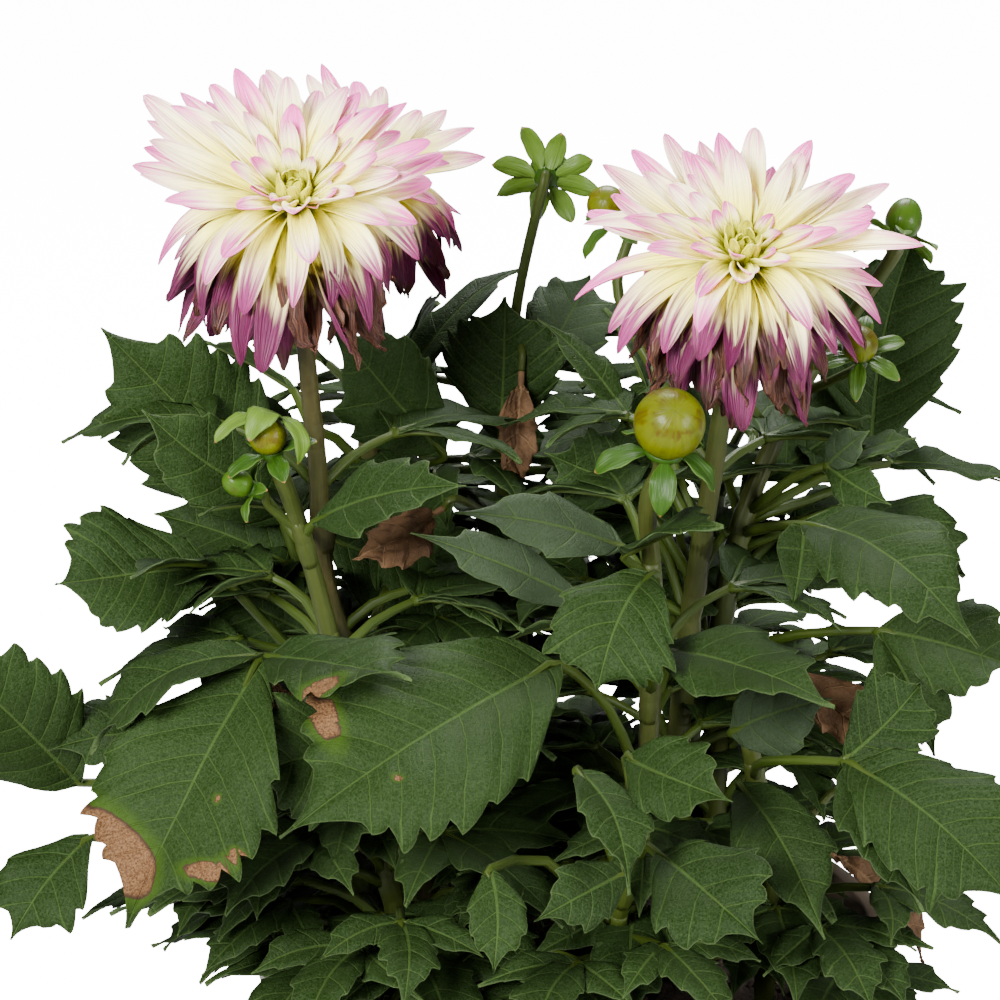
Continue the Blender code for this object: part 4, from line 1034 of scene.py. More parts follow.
def half_widths(v, phase, cell, side, width, teeth, outline, draw):
    """A leaflet's half width without its teeth, and how far the teeth stand out on each side. The first is v
    over its widest place to one power, times what is left beyond v over what is left beyond the widest
    place to another, with a little extra at the foot. The second is the tooth's profile times its seeded
    size and the width, and falls to nothing at both ends as a sine's power does.
    """
    sizes = draw.uniform(*TOOTH_SIZES, (cell[-1] + 1, 2)) * (teeth > 0)
    sizes[0] *= LOWEST_TEETH
    sizes[-1] = 0.0
    tooth = np.interp(phase, TOOTH_PHASES, TOOTH_HEIGHTS)
    power = outline[1] * draw.uniform(*TAPER_VARIES)
    widest = outline[0] * draw.uniform(*WIDEST_VARIES)
    rise = power * widest / (1 - widest) + BROAD_FOOT
    full = (v / widest) ** rise * ((1 - v) / (1 - widest)) ** power
    plain = 0.5 * width * (0.94 * full + 0.05 * (1 - v) ** 8) + LEAST_HALF_WIDTH
    return plain, TOOTH_SHARE * width * tooth[:, None] * sizes[cell][:, side] * np.sin(math.pi * v) ** 0.4


def blade(base, tip, width, face, arch, teeth, draw, columns=LARGE_COLUMNS, fold=BLADE_FOLD,
          outline=LEAF_OUTLINE, burns=(), crumple=0.0):
    """A leaflet as a closed shell on a grid of u, from -1 to 1 across it, and v, from 0 at its base to 1 at
    its tip. Rows follow the side veins, which run forward from the midrib by a share of the half width. Its
    midline is an arc, 4 times the arch times s times 1 - s high. Across it is folded up at the midrib, its
    sides droop as the square of the distance, and it is rippled at the margin, quilted between the veins
    and wrinkled. The twist turns its section about the midline.
    """
    base, tip = vector(base), vector(tip)
    chord = tip - base
    length = np.linalg.norm(chord)
    across = sideways(chord, face)
    upward = unit(np.cross(across, chord))
    v, phase, cell, cell_lengths = blade_rows(teeth, columns > SMALL_COLUMNS, draw)
    u = np.linspace(-1.0, 1.0, columns)
    out = np.abs(u)
    side = (u > 0).astype(int)
    plain, reach = half_widths(v, phase, cell, side, width, teeth, outline, draw)
    x = out * plain + reach * out ** 4
    lean = (teeth > 0) * VEIN_LEAN * plain * (0.7 * out + 0.3 * out ** 2.5) + TOOTH_LEAN * reach * out ** 4
    s = np.minimum(v + lean / length * np.minimum(1.0, 1.3 * (1 - v) ** 0.3), 1.0)
    sway, twist, curl = draw.normal(size=3) * SWAY_TWIST_CURL
    ripples = draw.uniform(0, 2 * math.pi, 2)[side]
    bend = 4 * arch * length * s * (1 - s)
    centre = base + s[..., None] * chord + bend[..., None] * upward
    centre = centre + (sway * length * np.sin(math.pi * s))[..., None] * across
    slope = chord + (4 * arch * length * (1 - 2 * s))[..., None] * upward
    normal = unit(np.cross(across, slope))
    turn = (twist * s)[..., None]
    wide = np.cos(turn) * across + np.sin(turn) * normal
    normal = np.cos(turn) * normal - np.sin(turn) * across
    lift = x * math.sin(fold) - (SIDES_DROOP + curl) * x ** 2 / max(width, 8.0)
    lift = lift + RIPPLE * width * out ** 2.5 * np.sin(2 * math.pi * RIPPLES * s + ripples)
    quilt = np.sin(math.pi * np.mod(phase - VEIN_AT, 1.0))[:, None] * 4 * out * (1 - out)
    lift = lift + QUILTING * width * (teeth > 0) * quilt
    surface = centre + (np.sign(u) * x * math.cos(fold))[..., None] * wide + lift[..., None] * normal
    seed = int(draw.integers(1000))
    shake = (WRINKLE * width + crumple) * wrinkles(surface, WRINKLE_SIZE * width, seed)
    surface = surface + shake[..., None] * normal
    if crumple:
        surface = surface + 0.5 * np.roll(shake, 1, axis=1)[..., None] * wide
    thick = EDGE_THICKNESS + (1 - EDGE_THICKNESS) * (1 - out ** 3)
    half = 0.5 * BLADE_THICKNESS * thick[:, None] * normal
    rings = np.concatenate((surface + half, (surface - half)[:, ::-1]), axis=1)
    burn = np.full_like(x, -1.0)
    for place, share, size in burns:
        apart = np.hypot((s - place) * length, np.sign(u) * x - share * plain)
        burn = np.maximum(burn, 1 - BURN_FADE * apart / size)
    flow = (cell + phase - VEIN_AT)[:, None] + 0 * x
    spacing = 0.75 * length * cell_lengths[cell][:, None] + 0 * x
    finer = FINE_VEINS if width > LARGE_LEAF else FEW_FINE_VEINS
    values = {
        "rib": x,
        "flow": flow,
        "minor": finer * flow,
        "spacing": spacing,
        "pitch": spacing / finer,
        "along": s,
        "edge": (1 - out) * (plain + reach),
        "burn": burn,
    }
    values = {key: np.concatenate((value, value[:, ::-1]), axis=1) for key, value in values.items()}
    under = np.concatenate((np.zeros(columns), np.ones(columns)))
    # Sprays, which fill the plant's inside, are painted darker as shade; small leaves of the palest tone get
    # silver down
    tone = draw.uniform() * (1.0 if columns > SPRAY_COLUMNS else SPRAY_PAINTED_SHADE)
    if tone > SILVERY_ABOVE and width < SILVERY_BELOW:
        tone = SILVERY_TONE
    return shell(rings, under=under, tone=tone, **values)


def rib_stalk(route, tip, arch, face):
    """A petiole through its points that runs on as the midrib's ridge on the underside of its leaflet, along
    the same arc.
    """
    route = [vector(point) for point in route]
    base, tip = route[-1], vector(tip)
    chord = tip - base
    length = np.linalg.norm(chord)
    upward = unit(np.cross(sideways(chord, face), chord))
    s = RIB_PLACES
    ridge = base + s[:, None] * chord + (4 * arch * length * s * (1 - s) - RIB_DEPTHS)[:, None] * upward
    radii = np.concatenate((np.linspace(*PETIOLE_TAPER, len(route)) * PETIOLE_RADIUS, RIB_RADII))
    if length < RIB_THIN_BELOW:
        radii[len(route):] *= RIB_THIN
    steps = 3 if length > RIB_FINE_FROM else 2
    return stalk(np.vstack((route, ridge)), radii, RIB_SIDES, RIB_FLUSH, steps)


def leaf_parts(start, petiole, leaflets, draw, stem="", number=0):
    """(stalks, blades) of a leaf whose petiole runs from start through its points. Every leaflet grows from
    the petiole's last point.
    """
    route = [start, *(vector(point) for point in petiole)]
    stalks, blades = [], []
    for k, (tip, width, face, arch, teeth) in enumerate(leaflets):
        stalks.append(rib_stalk(route if k == 0 else route[-1:], tip, arch, face))
        columns = SPRAY_COLUMNS if not stem else LARGE_COLUMNS if width > SMALL_LEAF else SMALL_COLUMNS
        burns = BURNS.get((stem, number, k), ())
        blades.append(blade(route[-1], tip, width, face, arch, teeth, draw, columns, burns=burns))
    return stalks, blades


# A spray's middle leaflet and the two beside it: how far out, to the side and down each tip lies, its width
# and its teeth, in shares of the spray's size
SPRAY_LEAFLETS = ((1.0, 0.0, 0.22, 0.46, 3), (0.42, -0.62, 0.10, 0.31, 2), (0.42, 0.62, 0.10, 0.31, 2))
SPRAY_ARCH = 0.10
SPRAY_FACES_OUT = 0.4
PETIOLE_MIDDLE = (0.45, 0.7)


def spray_parts(start, azimuth, reach, lift, size, draw):
    """(stalks, blades) of a leaf of three leaflets that follows from the way it points."""
    turn = math.radians(azimuth)
    out = vector((math.cos(turn), math.sin(turn), 0.0))
    across = np.cross(out, UP)
    end = start + reach * out + lift * UP
    middle = start + PETIOLE_MIDDLE[0] * reach * out + PETIOLE_MIDDLE[1] * lift * UP
    leaflets = []
    for away, aside, down, wide, teeth in SPRAY_LEAFLETS:
        tip = end + size * (away * out + aside * across - down * UP)
        leaflets.append((tip, wide * size, out * SPRAY_FACES_OUT + UP, SPRAY_ARCH, teeth))
    return leaf_parts(start, (middle, end), leaflets, draw)


# More leaves like the sprays fill the inside of the plant: some at each joint up a stem, turned on from the
# ones below, and a low ring of them that hides the soil and the pot's rim, but not where the rim shows.
# Turns are in degrees, and a pair is the range that a seeded number is drawn from.
FILL_FROM = 172.0
FILL_STEP = 25.0
FILL_BELOW_TOP = 40.0
FILL_TOP = 330.0
FILL_SIZE = 52.0
FILL_TURNS = (0.0, 120.0, 240.0)
FILL_FIRST_TURN = 35.0
FILL_NEXT_TURN = 60.0
FILL_SCATTER = (-25, 25)
FILL_REACH = (20, 34)
FILL_LIFT = (4, 24)
FILL_SIZES = (0.8, 1.1)
LEAF_SEED = 100
LOW_HEIGHT = 160.0
LOW_TURNS = (-45.0, 45.0)
LOW_SCATTER = (-20, 20)
LOW_REACH = (26, 44)
LOW_LIFT = 12.0
RIM_SHOWS = (-42.0, 35.0)

# The lowest and highest corner of the room that the tips keep inside, and of two that they keep out of, in
# front of the stems and of the rim
FAR = math.inf
ROOM = (-178, -128, -FAR), (132, 146, FAR)
BEFORE_STEMS = (-FAR, -FAR, 232), (FAR, -20, FAR)
BEFORE_RIM = (84, -70, -FAR), (FAR, 45, 215)


def within(point, low, high):
    """Whether a point lies between two corners."""
    return all(a < value < b for a, value, b in zip(low, point, high))


def fill_sprays(name, draw):
    """(height, azimuth, reach, lift, size) of the leaves that fill a stem, kept off the plant's outside."""
    points, _ = stem_route(name)
    top = min(points[-1, 2] - FILL_BELOW_TOP, FILL_TOP)
    rows = []
    for k, height in enumerate(np.arange(FILL_FROM + draw.uniform(0, 10), top, FILL_STEP)):
        at = on_stem(points, height)
        for turn in FILL_TURNS:
            azimuth = FILL_FIRST_TURN + FILL_NEXT_TURN * (k % 2) + turn + draw.uniform(*FILL_SCATTER)
            reach, lift = draw.uniform(*FILL_REACH), draw.uniform(*FILL_LIFT)
            size = FILL_SIZE * draw.uniform(*FILL_SIZES)
            way = vector((math.cos(math.radians(azimuth)), math.sin(math.radians(azimuth)), 0.0))
            tip = at + (reach + size) * way + lift * UP
            if within(tip, *ROOM) and not within(tip, *BEFORE_STEMS) and not within(tip, *BEFORE_RIM):
                rows.append((height, azimuth, reach, lift, size))
    out = math.degrees(math.atan2(points[0, 1], points[0, 0]))
    for turn in LOW_TURNS:
        azimuth = out + turn + draw.uniform(*LOW_SCATTER)
        if not RIM_SHOWS[0] < azimuth < RIM_SHOWS[1]:
            rows.append((LOW_HEIGHT, azimuth, draw.uniform(*LOW_REACH), LOW_LIFT, FILL_SIZE))
    return rows


for order, name in enumerate(STEMS):
    draw = np.random.default_rng(LEAF_SEED + order)
    points, _ = stem_route(name)
    stalks, blades = joint_stalks(name), []
    for number, (height, petiole, leaflets) in enumerate(STEMS[name]["leaves"]):
        more = leaf_parts(on_stem(points, height), petiole, leaflets, draw, name, number)
        stalks += more[0]
        blades += more[1]
    for height, *way in [*STEMS[name]["sprays"], *fill_sprays(name, draw)]:
        more = spray_parts(on_stem(points, height), *way, draw)
        stalks += more[0]
        blades += more[1]
    short = name.replace("leafy_stem_", "")
    add_piece("stalks_" + short, stalks, stalk_finish, "leaf_green", name)
    add_piece("leaves_" + short, blades, leaf_finish, "leaf_green", name)

# The bracts
# Small fleshy green leaves round each bud and behind each bloom, glossy, with fine lengthwise lines. They
# spring from the edge of a small green cup.
RECEPTACLE_DEPTH = 4.5
CALYX_PROFILE = ((0.5, -6.5), (2.5, -6.0), (6.0, -4.0), (7.0, 0.0), (0.3, 0.2))
CUP_SIDES = 24
CUP_GAP = 0.3
CALYX_BRACTS = {"count": 8, "length": 15.0, "width": 6.0, "lean": 128.0, "light": 0.1}
BRACT_OUTLINE = (0.46, 0.85)
BRACT_FOLD = 0.35
BRACT_ARCH = 0.14
BRACT_TURN_SCATTER = (-0.12, 0.12)
BRACT_LEAN_SCATTER = (-12, 12)
BRACT_LENGTHS = (0.85, 1.1)
BRACT_FIRST_TURN = 0.3
BLOOM_BRACT_SEED = 320
BUD_BRACT_SEED = 300
PEELED_LIGHT = 0.85
BRACT_GREENS = (0.0060, 0.0210, 0.0012), (0.0130, 0.0350, 0.0022)
BRACT_PALE_AND_LIT = (0.0560, 0.0980, 0.0110)
BRACT_LINE = 0.22, (0.0330, 0.0680, 0.0070)
BRACT_RIM = (0.0340, 0.0620, 0.0110)
BRACT_TIP = (0.13, 0.07, 0.02)

# The left bud is opening: three broad inner bracts have peeled from its crown. Each has its foot and tip
# from the ball's centre, its width, the way it faces and its arch.
PEELED = (
    ((3.0, 3.0, 5.0), (-4.8, -6.5, 0.6), 11.5, (-0.2, -0.5, 0.85), 0.42),
    ((-2.0, 1.0, 6.0), (-15.5, -4.0, -0.8), 7.0, (-0.4, -0.3, 0.85), 0.16),
    ((4.0, 1.0, 5.5), (9.0, -4.0, -7.5), 7.5, (0.8, -0.5, 0.35), 0.30),
)

bract_finish, tree, shader = finish_material("bract_skin", 0.38, Specular_IOR_Level=0.10)
along = attribute(tree, "along")
lines = streaks(along, attribute(tree, "rib"), 1.6)
green = blend(mottle(object_place(tree), 180.0, 0.4), *BRACT_GREENS)
# The paler green is partly the bracts' own and partly painted light, most on the green bud at the back
green = blend(attribute(tree, "tone"), green, BRACT_PALE_AND_LIT)
green = coat(green, lines, *BRACT_LINE)
green = blend(smooth_step(attribute(tree, "edge"), 0.30, 0.05), green, BRACT_RIM)
wire(shader, Base_Color=blend(smooth_step(along, 0.95, 1.0), green, BRACT_TIP))
relief(shader, lines, 0.15)

# What a part that isn't a blade has in place of a blade's values, so that a leaf's materials fit it too
PLAIN_VALUES = {key: 9.0 for key in ("rib", "flow", "minor", "spacing", "pitch", "edge")}
PLAIN_VALUES.update(along=0.3, burn=-1.0, under=0.0, tone=0.0)


def bract(base, tip, width, face, arch, light, draw):
    """A small fleshy bract without teeth, the lighter the nearer light is to 1."""
    shape = {"columns": SMALL_COLUMNS, "fold": BRACT_FOLD, "outline": BRACT_OUTLINE}
    points, quads, values = blade(base, tip, width, face, arch, 0, draw, **shape)
    return points, quads, {**values, "tone": np.full(len(points), light)}


def bract_ring(seat, axis, distance, foot, draw, count, length, width, lean, light):
    """Bracts that spring from a circle round an axis, each at about the same angle to it."""
    level = sideways(axis, (0.0, 1.0, 0.0))
    front = np.cross(axis, level)
    ring = []
    for k in range(count):
        turn = 2 * math.pi * (k + BRACT_FIRST_TURN + draw.uniform(*BRACT_TURN_SCATTER)) / count
        radial = math.cos(turn) * level + math.sin(turn) * front
        angle = math.radians(lean + draw.uniform(*BRACT_LEAN_SCATTER))
        base = seat + distance * radial + foot * axis
        way = math.sin(angle) * radial + math.cos(angle) * axis
        tip = base + length * draw.uniform(*BRACT_LENGTHS) * way
        ring.append(bract(base, tip, width, axis, BRACT_ARCH, light, draw))
    return ring


def cup(profile, corners, top, axis):
    """The small green cup below a bud or a bloom, with its corners rounded."""
    return shell(turned(rounded(profile, corners), CUP_SIDES, top, axis), **PLAIN_VALUES)


def bud_bracts(name, draw):
    """The green receptacle below a bud's ball and the bracts that spring from its edge."""
    centre, radius, _, *bracts = BUDS[name]
    seat, axis = bud_seat(name)
    wide = SEAT_RADIUS_SHARE * radius
    top = seat - CUP_GAP * axis
    narrow = ((0.5, -RECEPTACLE_DEPTH - 1.0), (2.4, -RECEPTACLE_DEPTH))
    parts = [cup((*narrow, (0.96 * wide, -2.0), (wide, 0.0), (0.3, 0.2)), 0.6, top, axis)]
    parts += bract_ring(top, axis, 0.80 * wide, -1.9, draw, *bracts)
    if name == "bud_left":
        centre = vector(centre)
        for foot, tip, broad, face, arch in PEELED:
            parts.append(bract(centre + foot, centre + tip, broad, face, arch, PEELED_LIGHT, draw))
    return parts


def bloom_bracts(name, draw):
    """The cup under a bloom, with bracts bent back from it."""
    seat, axis = bloom_seat(name)
    top = seat - CUP_GAP * axis
    return [cup(CALYX_PROFILE, 0.8, top, axis), *bract_ring(top, axis, 5.5, -2.5, draw, **CALYX_BRACTS)]


def carrier_of(holder):
    """The stem that ends, or has a branch that ends, in a bloom or a bud."""
    for stem, facts in STEMS.items():
        if holder in facts["ends"] or any(holder == end for _, _, end in facts.get("branches", ())):
            return stem


for name in (*BLOOMS, *BUDS):
    bracts_of, seed = (bloom_bracts, BLOOM_BRACT_SEED) if name in BLOOMS else (bud_bracts, BUD_BRACT_SEED)
    parts = bracts_of(name, np.random.default_rng(seed + len(name)))
    add_piece("bracts_" + name, parts, bract_finish, "leaf_green", carrier_of(name))

# The buds
# Tight glossy balls of wrapped petals, yellow-green, with faint seams that meet at the top and a few
# brown scars. Each sits on its green cup. The smallest are still closed, pointed and green.
BALL_SIDES = 48
BALL_ROWS = 26
YOUNG_STRETCH = 0.35
TURNED_TO_VIEW = 1.1
POLE_ANGLE = 0.02
SEAMS = 3.5
SEAM_TWIST = 2.0
SEAM_DEPTH = 0.008
TOWARDS_VIEW = vector((0.1, -1.0, 0.2))
BUD_YELLOWS = (0.030, 0.040, 0.0002), (0.050, 0.056, 0.0003)
BUD_LINE = 0.25, (0.080, 0.084, 0.0006)
BUD_GREENS = (0.013, 0.036, 0.0015), (0.028, 0.058, 0.003)
BUD_SCAR = (0.026, 0.0075, 0.0004)

gloss = {"Specular_IOR_Level": 0.07, "Coat_Weight": 0.04, "Coat_Roughness": 0.12}
bud_finish, tree, shader = finish_material("bud_skin", 0.40, **gloss)
place = object_place(tree)
along = attribute(tree, "along")
lines = streaks(along, attribute(tree, "round"), 20.0)
cloud = mottle(place, 130.0, 0.5)
yellow = coat(blend(cloud, *BUD_YELLOWS), lines, *BUD_LINE)
skin = blend(attribute(tree, "green"), yellow, blend(cloud, *BUD_GREENS))
ring = times(smooth_step(along, 0.35, 0.50), smooth_step(along, 0.98, 0.80))
scars = times(smooth_step(mottle(place, 160.0, 0.75), 0.42, 0.85), ring)
streaked = plus(0.20, times(lines, 0.55))
wire(shader, Base_Color=blend(times(scars, streaked), skin, BUD_SCAR))
relief(shader, lines, 0.07)

for name, (centre, radius, axis, *_) in BUDS.items():
    young = name.startswith("green")
    crown = unit(unit(vector(axis)) + (0.0 if young else TURNED_TO_VIEW) * TOWARDS_VIEW)
    angles = np.linspace(math.pi - POLE_ANGLE, POLE_ANGLE, BALL_ROWS)
    pointed = 1.0 + YOUNG_STRETCH * young * (np.cos(angles) > 0)
    profile = np.column_stack((radius * np.sin(angles), pointed * radius * np.cos(angles)))
    rings = turned(profile, BALL_SIDES, centre, crown)
    turns = np.arange(BALL_SIDES) * 2 * math.pi / BALL_SIDES
    seams = SEAM_DEPTH * radius * np.abs(np.sin(SEAMS * turns + SEAM_TWIST * angles[:, None])) ** 0.5
    rings = rings - seams[..., None] * unit(rings - vector(centre))
    around = np.abs(np.linspace(-1, 1, BALL_SIDES, endpoint=False))
    part = shell(rings, along=1 - angles[:, None] / math.pi, round=around, green=1.0 if young else 0.0)
    add_piece("ball_" + name, [part], bud_finish, "bud_yellow_green", *(() if young else (name,)))

# The blooms
# Petals grow in layers from a small core that sits on a green cup: short and curled in at the eye, long and
# flat further out, hanging in a skirt below, where the oldest are withered. Each is cream, chartreuse at
# its foot and lilac at its tip, which turns magenta and then brown with age.

# Each layer: petals, height of their roots and their distance from the axis, tilt from the axis, length,
# width, further bend at the tip, how far the edges are cupped, and how far up the green of the foot goes
PETAL_LAYERS = (
    (5, -3.5, 1.3, -2.0, 5.0, 3.0, -18.0, 72.0, 1.30),
    (8, -3.5, 3.6, 6.0, 8.0, 4.0, -36.0, 70.0, 1.15),
    (8, -3.8, 4.8, 16.0, 10.5, 4.8, -26.0, 66.0, 0.90),
    (7, -4.2, 5.0, 30.0, 15.0, 5.9, 8.0, 64.0, 0.35),
    (8, -4.8, 4.4, 40.0, 24.0, 7.4, 8.0, 62.0, 0.22),
    (10, -5.6, 3.4, 48.0, 35.0, 8.6, 6.0, 60.0, 0.14),
    (12, -6.4, 3.0, 56.0, 44.0, 9.3, 8.0, 56.0, 0.05),
    (14, -7.2, 3.0, 65.0, 49.0, 9.4, 8.0, 52.0, 0.0),
    (15, -8.0, 3.0, 74.0, 51.0, 9.6, 8.0, 48.0, 0.0),
    (15, -8.8, 3.0, 83.0, 51.0, 9.8, 8.0, 46.0, 0.0),
    (15, -9.6, 3.0, 94.0, 49.0, 10.2, 6.0, 44.0, 0.0),
    (14, -10.4, 3.0, 106.0, 46.0, 10.4, 2.0, 44.0, 0.0),
    (9, -11.2, 3.0, 118.0, 42.0, 10.2, 0.0, 46.0, 0.0),
)
CORE_PROFILE = (
    (AXIS_GAP, -CORE_FOOT), (7.0, -14.0), (13.0, -11.5), (11.0, -7.0), (5.0, -3.6), (AXIS_GAP, -3.0)
)
CORE_SIDES = 24
CORE_CORNERS = 0.2
LEAST_PETALS = 5

# By how much petals differ: their place round the axis, their lean and further bend in degrees, the shares
# of their length and width, and their age
PETAL_SCATTER = vector((0.30, 8.0, 0.12, 0.12, 9.0, 0.12))

OLD_BELOW = 0.30
AGEING = 1.9
HANG = 3.2
HANGS_FROM, HANGS_OVER = 0.12, 0.45
WITHERS_FROM = 0.42
WITHERS = (0.0, 2.4)
MOST_WITHERED = 1.3
PETAL_THICKNESS = 0.55
PETAL_WIDEST = 0.60
PETAL_CLAW = 0.40
PETAL_OF_EYE = 0.4
POINTS = (0.48, 0.95)
CUPS_VARY = (0.75, 1.45)
CUP_AT_FOOT, CUP_LOST = 1.2, 0.8
CUP_HEIGHT = 1.5
SWEEP = 0.06
CURL = 0.06
TWIST, TWIST_WITH_AGE = 0.16, 0.45
SHRIVEL = 0.55
PLEAT = 0.024
PLEATS = 3.0
CRUMPLE = 2.8
CRUMPLE_SIZE = 8.0
PETAL_CREAMS = (0.94, 0.85, 0.06), (0.96, 0.84, 0.54)
PETAL_FEET = (0.27, 0.28, 0.0012), (0.56, 0.54, 0.0050)
PETAL_VEIN = 0.16, (0.70, 0.62, 0.07)
PETAL_LILACS = (0.69, 0.105, 0.38), (0.072, 0.0045, 0.031)
PETAL_DEEPS = (0.50, 0.050, 0.25), (0.028, 0.002, 0.012)
PETAL_BROWNS = (0.012, 0.003, 0.003), (0.056, 0.020, 0.009)

thin_petal = {"Specular_IOR_Level": 0.15, "Subsurface_Weight": 0.25, "Subsurface_Scale": 0.0015}
petal_finish, tree, shader = finish_material("petal_skin", 0.5, **thin_petal)
shader.inputs["Subsurface Radius"].default_value = (1.0, 0.7, 0.5)
along, across = attribute(tree, "along"), attribute(tree, "across")
age, green, shift = attribute(tree, "age"), attribute(tree, "green"), attribute(tree, "shift")
fine = streaks(times(along, 1.5), across, 9.0, shift)
broad = streaks(times(along, 1.2), across, 3.0, shift)
cream = blend(smooth_step(along, 0.32, 0.88), *PETAL_CREAMS)
cream = blend(smooth_step(minus(along, green), 0.30, 0.0), cream, blend(green, *PETAL_FEET))
cream = coat(cream, fine, *PETAL_VEIN)
reach = plus(along, times(minus(broad, 0.5), 0.22))
reach = plus(reach, times(minus(attribute(tree, "blush"), 0.5), 0.40))
reach = plus(reach, times(smooth_step(age, 0.3, 1.0), 0.10))
aged = smooth_step(age, 0.09, 0.62)
lilac = blend(times(fine, 0.45), blend(aged, *PETAL_LILACS), blend(aged, *PETAL_DEEPS))
skin = blend(smooth_step(reach, 0.60, 1.0), cream, lilac)
cloud = mottle(object_place(tree), 160.0, 0.5)
dying = plus(along, times(minus(cloud, 0.5), 0.35))
dying = plus(dying, times(attribute(tree, "wither"), 0.5))
wire(shader, Base_Color=blend(smooth_step(dying, 1.02, 1.25), skin, blend(fine, *PETAL_BROWNS)))
relief(shader, plus(times(fine, 0.6), broad), 0.65)


def petal_fullness(s, point):
    """The share of the half width that a petal has at s, from its narrow claw at 0 to its tip at 1, which is
    rounder the smaller the point: a quarter of a sine up to the widest place, then 1 less a power of the
    way from there to the tip.
    """
    rising = PETAL_CLAW + (1 - PETAL_CLAW) * np.sin(0.5 * math.pi * np.minimum(s / PETAL_WIDEST, 1.0))
    closing = (1 - (np.maximum(s - PETAL_WIDEST, 0.0) / (1 - PETAL_WIDEST)) ** 2.1) ** point
    return rising * closing


def petal(root, start, end, across, length, width, cup, age, wither, green, draw, rows=15, columns=9):
    """A petal as a closed shell: its midline is a curve that leaves root along start and arrives along end,
    its section an arc that opens towards the tip, with shallow pleats. A withered one shrivels at its tip.
    """
    out = 0.5 + 0.06 * age
    middle = root + out * length * start
    tip = middle + (1 - out) * length * end
    s = 1 - (1 - np.linspace(0.0, 1.0, rows)[:, None]) ** 1.5
    u = np.linspace(-1.0, 1.0, columns)
    sweep = draw.normal() * SWEEP * length
    spine = (1 - s) ** 2 * root + 2 * s * (1 - s) * middle + s ** 2 * tip + sweep * s ** 2 * across
    slopes = 2 * (1 - s) * (middle - root) + 2 * s * (tip - middle)
    normal = unit(np.cross(across, slopes))
    half_width = 0.5 * width * petal_fullness(s, draw.uniform(*POINTS)) + 0.10
    half_width = half_width * (1 - min(wither, 0.8) * SHRIVEL * np.clip((s - 0.45) / 0.5, 0, 1))
    cups = np.radians(cup * draw.uniform(*CUPS_VARY) * (CUP_AT_FOOT - CUP_LOST * s))
    x = half_width * np.sin(u * cups) / cups
    lift = half_width * (1 - np.cos(u * cups)) / cups * CUP_HEIGHT
    lift = lift + PLEAT * width * np.cos(PLEATS * math.pi * u) * np.sin(math.pi * s)
    twist = draw.normal() * (TWIST + TWIST_WITH_AGE * age) * s[..., None]
    wide = np.cos(twist) * across + np.sin(twist) * normal[:, None]
    proud = np.cos(twist) * normal[:, None] - np.sin(twist) * across
    curl = draw.normal(0.2, 1.0) * CURL * length * np.clip((s - 0.55) / 0.45, 0, 1) ** 2
    surface = spine[:, None] + x[..., None] * wide + (lift + curl)[..., None] * proud
    if wither > 0:
        shake = CRUMPLE * wither * np.clip((s - 0.4) / 0.6, 0, 1) ** 1.2
        shake = shake * wrinkles(surface, CRUMPLE_SIZE, int(draw.integers(1000)))
        surface = surface + shake[..., None] * proud + 0.8 * np.roll(shake, 2, axis=0)[..., None] * wide
    half = 0.5 * PETAL_THICKNESS * (0.5 + 0.5 * (1 - u ** 4))[:, None] * proud
    rings = np.concatenate((surface + half, (surface - half)[:, ::-1]), axis=1)
    blush = -1.0 if green > PETAL_OF_EYE else draw.uniform(0.1, 0.9) * (1 - age) + age
    values = {"across": np.concatenate((u, u[::-1])), "blush": blush, "shift": draw.uniform(0, 30)}
    return shell(rings, along=s, age=age, wither=wither, green=green, **values)


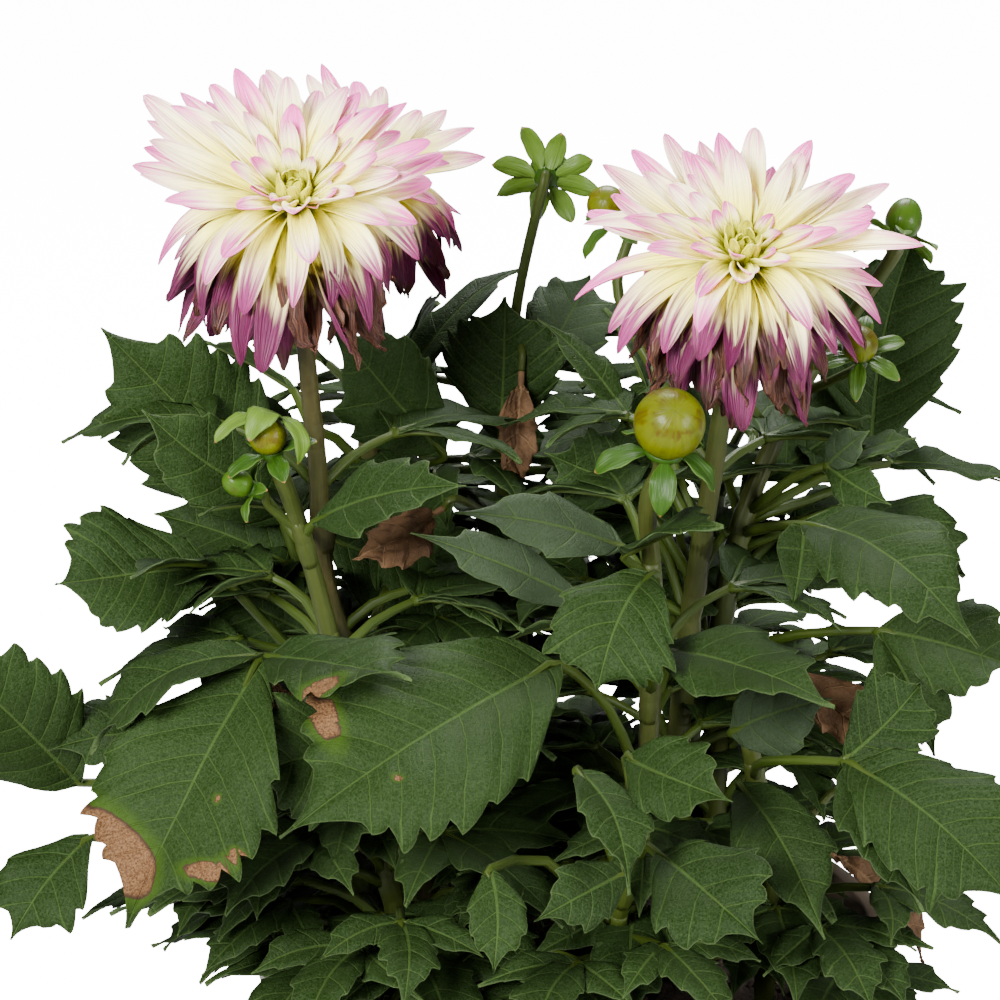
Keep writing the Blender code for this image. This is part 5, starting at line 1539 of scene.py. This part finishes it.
def bloom_parts(name):
    """The core and the petals of a bloom, layer by layer at even spacing with a seeded scatter. A petal is
    older, and droops more, the further down it points, and withers most on the bloom's worn side.
    """
    centre, axis, kept_share, size, seed, (left, right, behind, before), decay, worn = BLOOMS[name]
    centre, axis = vector(centre), unit(vector(axis))
    draw = np.random.default_rng(seed)
    level = sideways(axis, (0.0, 1.0, 0.0))
    front = np.cross(axis, level)
    core = turned(rounded(vector(CORE_PROFILE) * size, CORE_CORNERS), CORE_SIDES, centre, axis)
    parts = [shell(core, along=0.16, across=0.0, age=0.0, blush=0.0, wither=0.0, green=0.0, shift=0.0)]
    for layer, (count, height, away, tilt, length, width, bend, cup, green) in enumerate(PETAL_LAYERS):
        kept = max(LEAST_PETALS, round(count * kept_share))
        for k in range(kept):
            aside, leans, longer, wider, bends, older = PETAL_SCATTER * draw.uniform(-1.0, 1.0, 6)
            turn = 2 * math.pi * (k + 0.5 * (layer % 2) + aside) / kept
            c, s = math.cos(turn), math.sin(turn)
            radial = c * level + s * front
            span = c ** 2 * (left if c > 0 else right) + s ** 2 * (before if s > 0 else behind)
            lean = math.radians(tilt + leans)
            start = math.sin(lean) * radial + math.cos(lean) * axis
            bent = lean + math.radians(bend + bends)
            age = float(np.clip(AGEING * (OLD_BELOW - start[2]) + older, 0.0, 1.0))
            hang = HANG * min(max(age - HANGS_FROM, 0.0) / HANGS_OVER, 1.0)
            end = unit(math.sin(bent) * radial + math.cos(bent) * axis - hang * UP)
            fate = decay * max(0.0, age - WITHERS_FROM) * draw.uniform(*WITHERS)
            wither = min(fate * max(0.1, 1 + radial @ vector(worn)), MOST_WITHERED)
            root = centre + size * (height * axis + away * radial)
            long, wide = size * span * length * (1 + longer), size * width * (1 + wider)
            across = np.cross(radial, axis)
            parts.append(petal(root, start, end, across, long, wide, cup, age, wither, green, draw))
    return parts


for name in BLOOMS:
    add_piece("petals_" + name, bloom_parts(name), petal_finish, "petal_cream", name)

# The withered leaves
# Dead leaflets, dry, crumpled and curled along their length, brown with darker veins. Each hangs from a
# short dead end of its green stalk.
DEAD_FOLD = math.radians(38.0)
DEAD_ARCH = 0.12
DEAD_TEETH = 3
DEAD_COLUMNS = 21
DEAD_CRUMPLE = 2.2
DEAD_STALK = (0.3, 3.0, 6.0), (1.2, 1.1, 1.0)
DEAD_LEAF_FROM = 4.0
DEAD_SEED = 500
DEAD_BROWNS = (0.014, 0.0065, 0.0025), (0.066, 0.034, 0.014)
DEAD_GRAIN = 0.3, (0.082, 0.045, 0.021)
DEAD_VEIN = 0.5, (0.095, 0.058, 0.027)

dead_finish, tree, shader = finish_material("dead_leaf", 0.75, Specular_IOR_Level=0.12)
place = object_place(tree)
lines = vein_sockets(tree, place)["Lines"]
cells = mottle(place, 1200.0, 0.5)
brown = coat(blend(mottle(place, 140.0, 0.5), *DEAD_BROWNS), cells, *DEAD_GRAIN)
wire(shader, Base_Color=coat(brown, lines, *DEAD_VEIN))
relief(shader, plus(times(cells, 0.4), lines), 0.4)

for order, (name, (_, _, joint, tip, width, face)) in enumerate(WITHERED.items()):
    draw = np.random.default_rng(DEAD_SEED + order)
    way = unit(vector(tip) - joint)
    places, radii = DEAD_STALK
    points, quads, _ = stalk([joint + along * way for along in places], radii, RIB_SIDES, 0.0)
    plain = {key: np.full(len(points), value) for key, value in PLAIN_VALUES.items()}
    shape = {"columns": DEAD_COLUMNS, "fold": DEAD_FOLD, "crumple": DEAD_CRUMPLE}
    leaf = blade(joint + DEAD_LEAF_FROM * way, tip, width, face, DEAD_ARCH, DEAD_TEETH, draw, **shape)
    parts = [leaf, (points, quads, plain)]
    add_piece("dead_" + name.replace("withered_", ""), parts, dead_finish, "withered_brown", name)
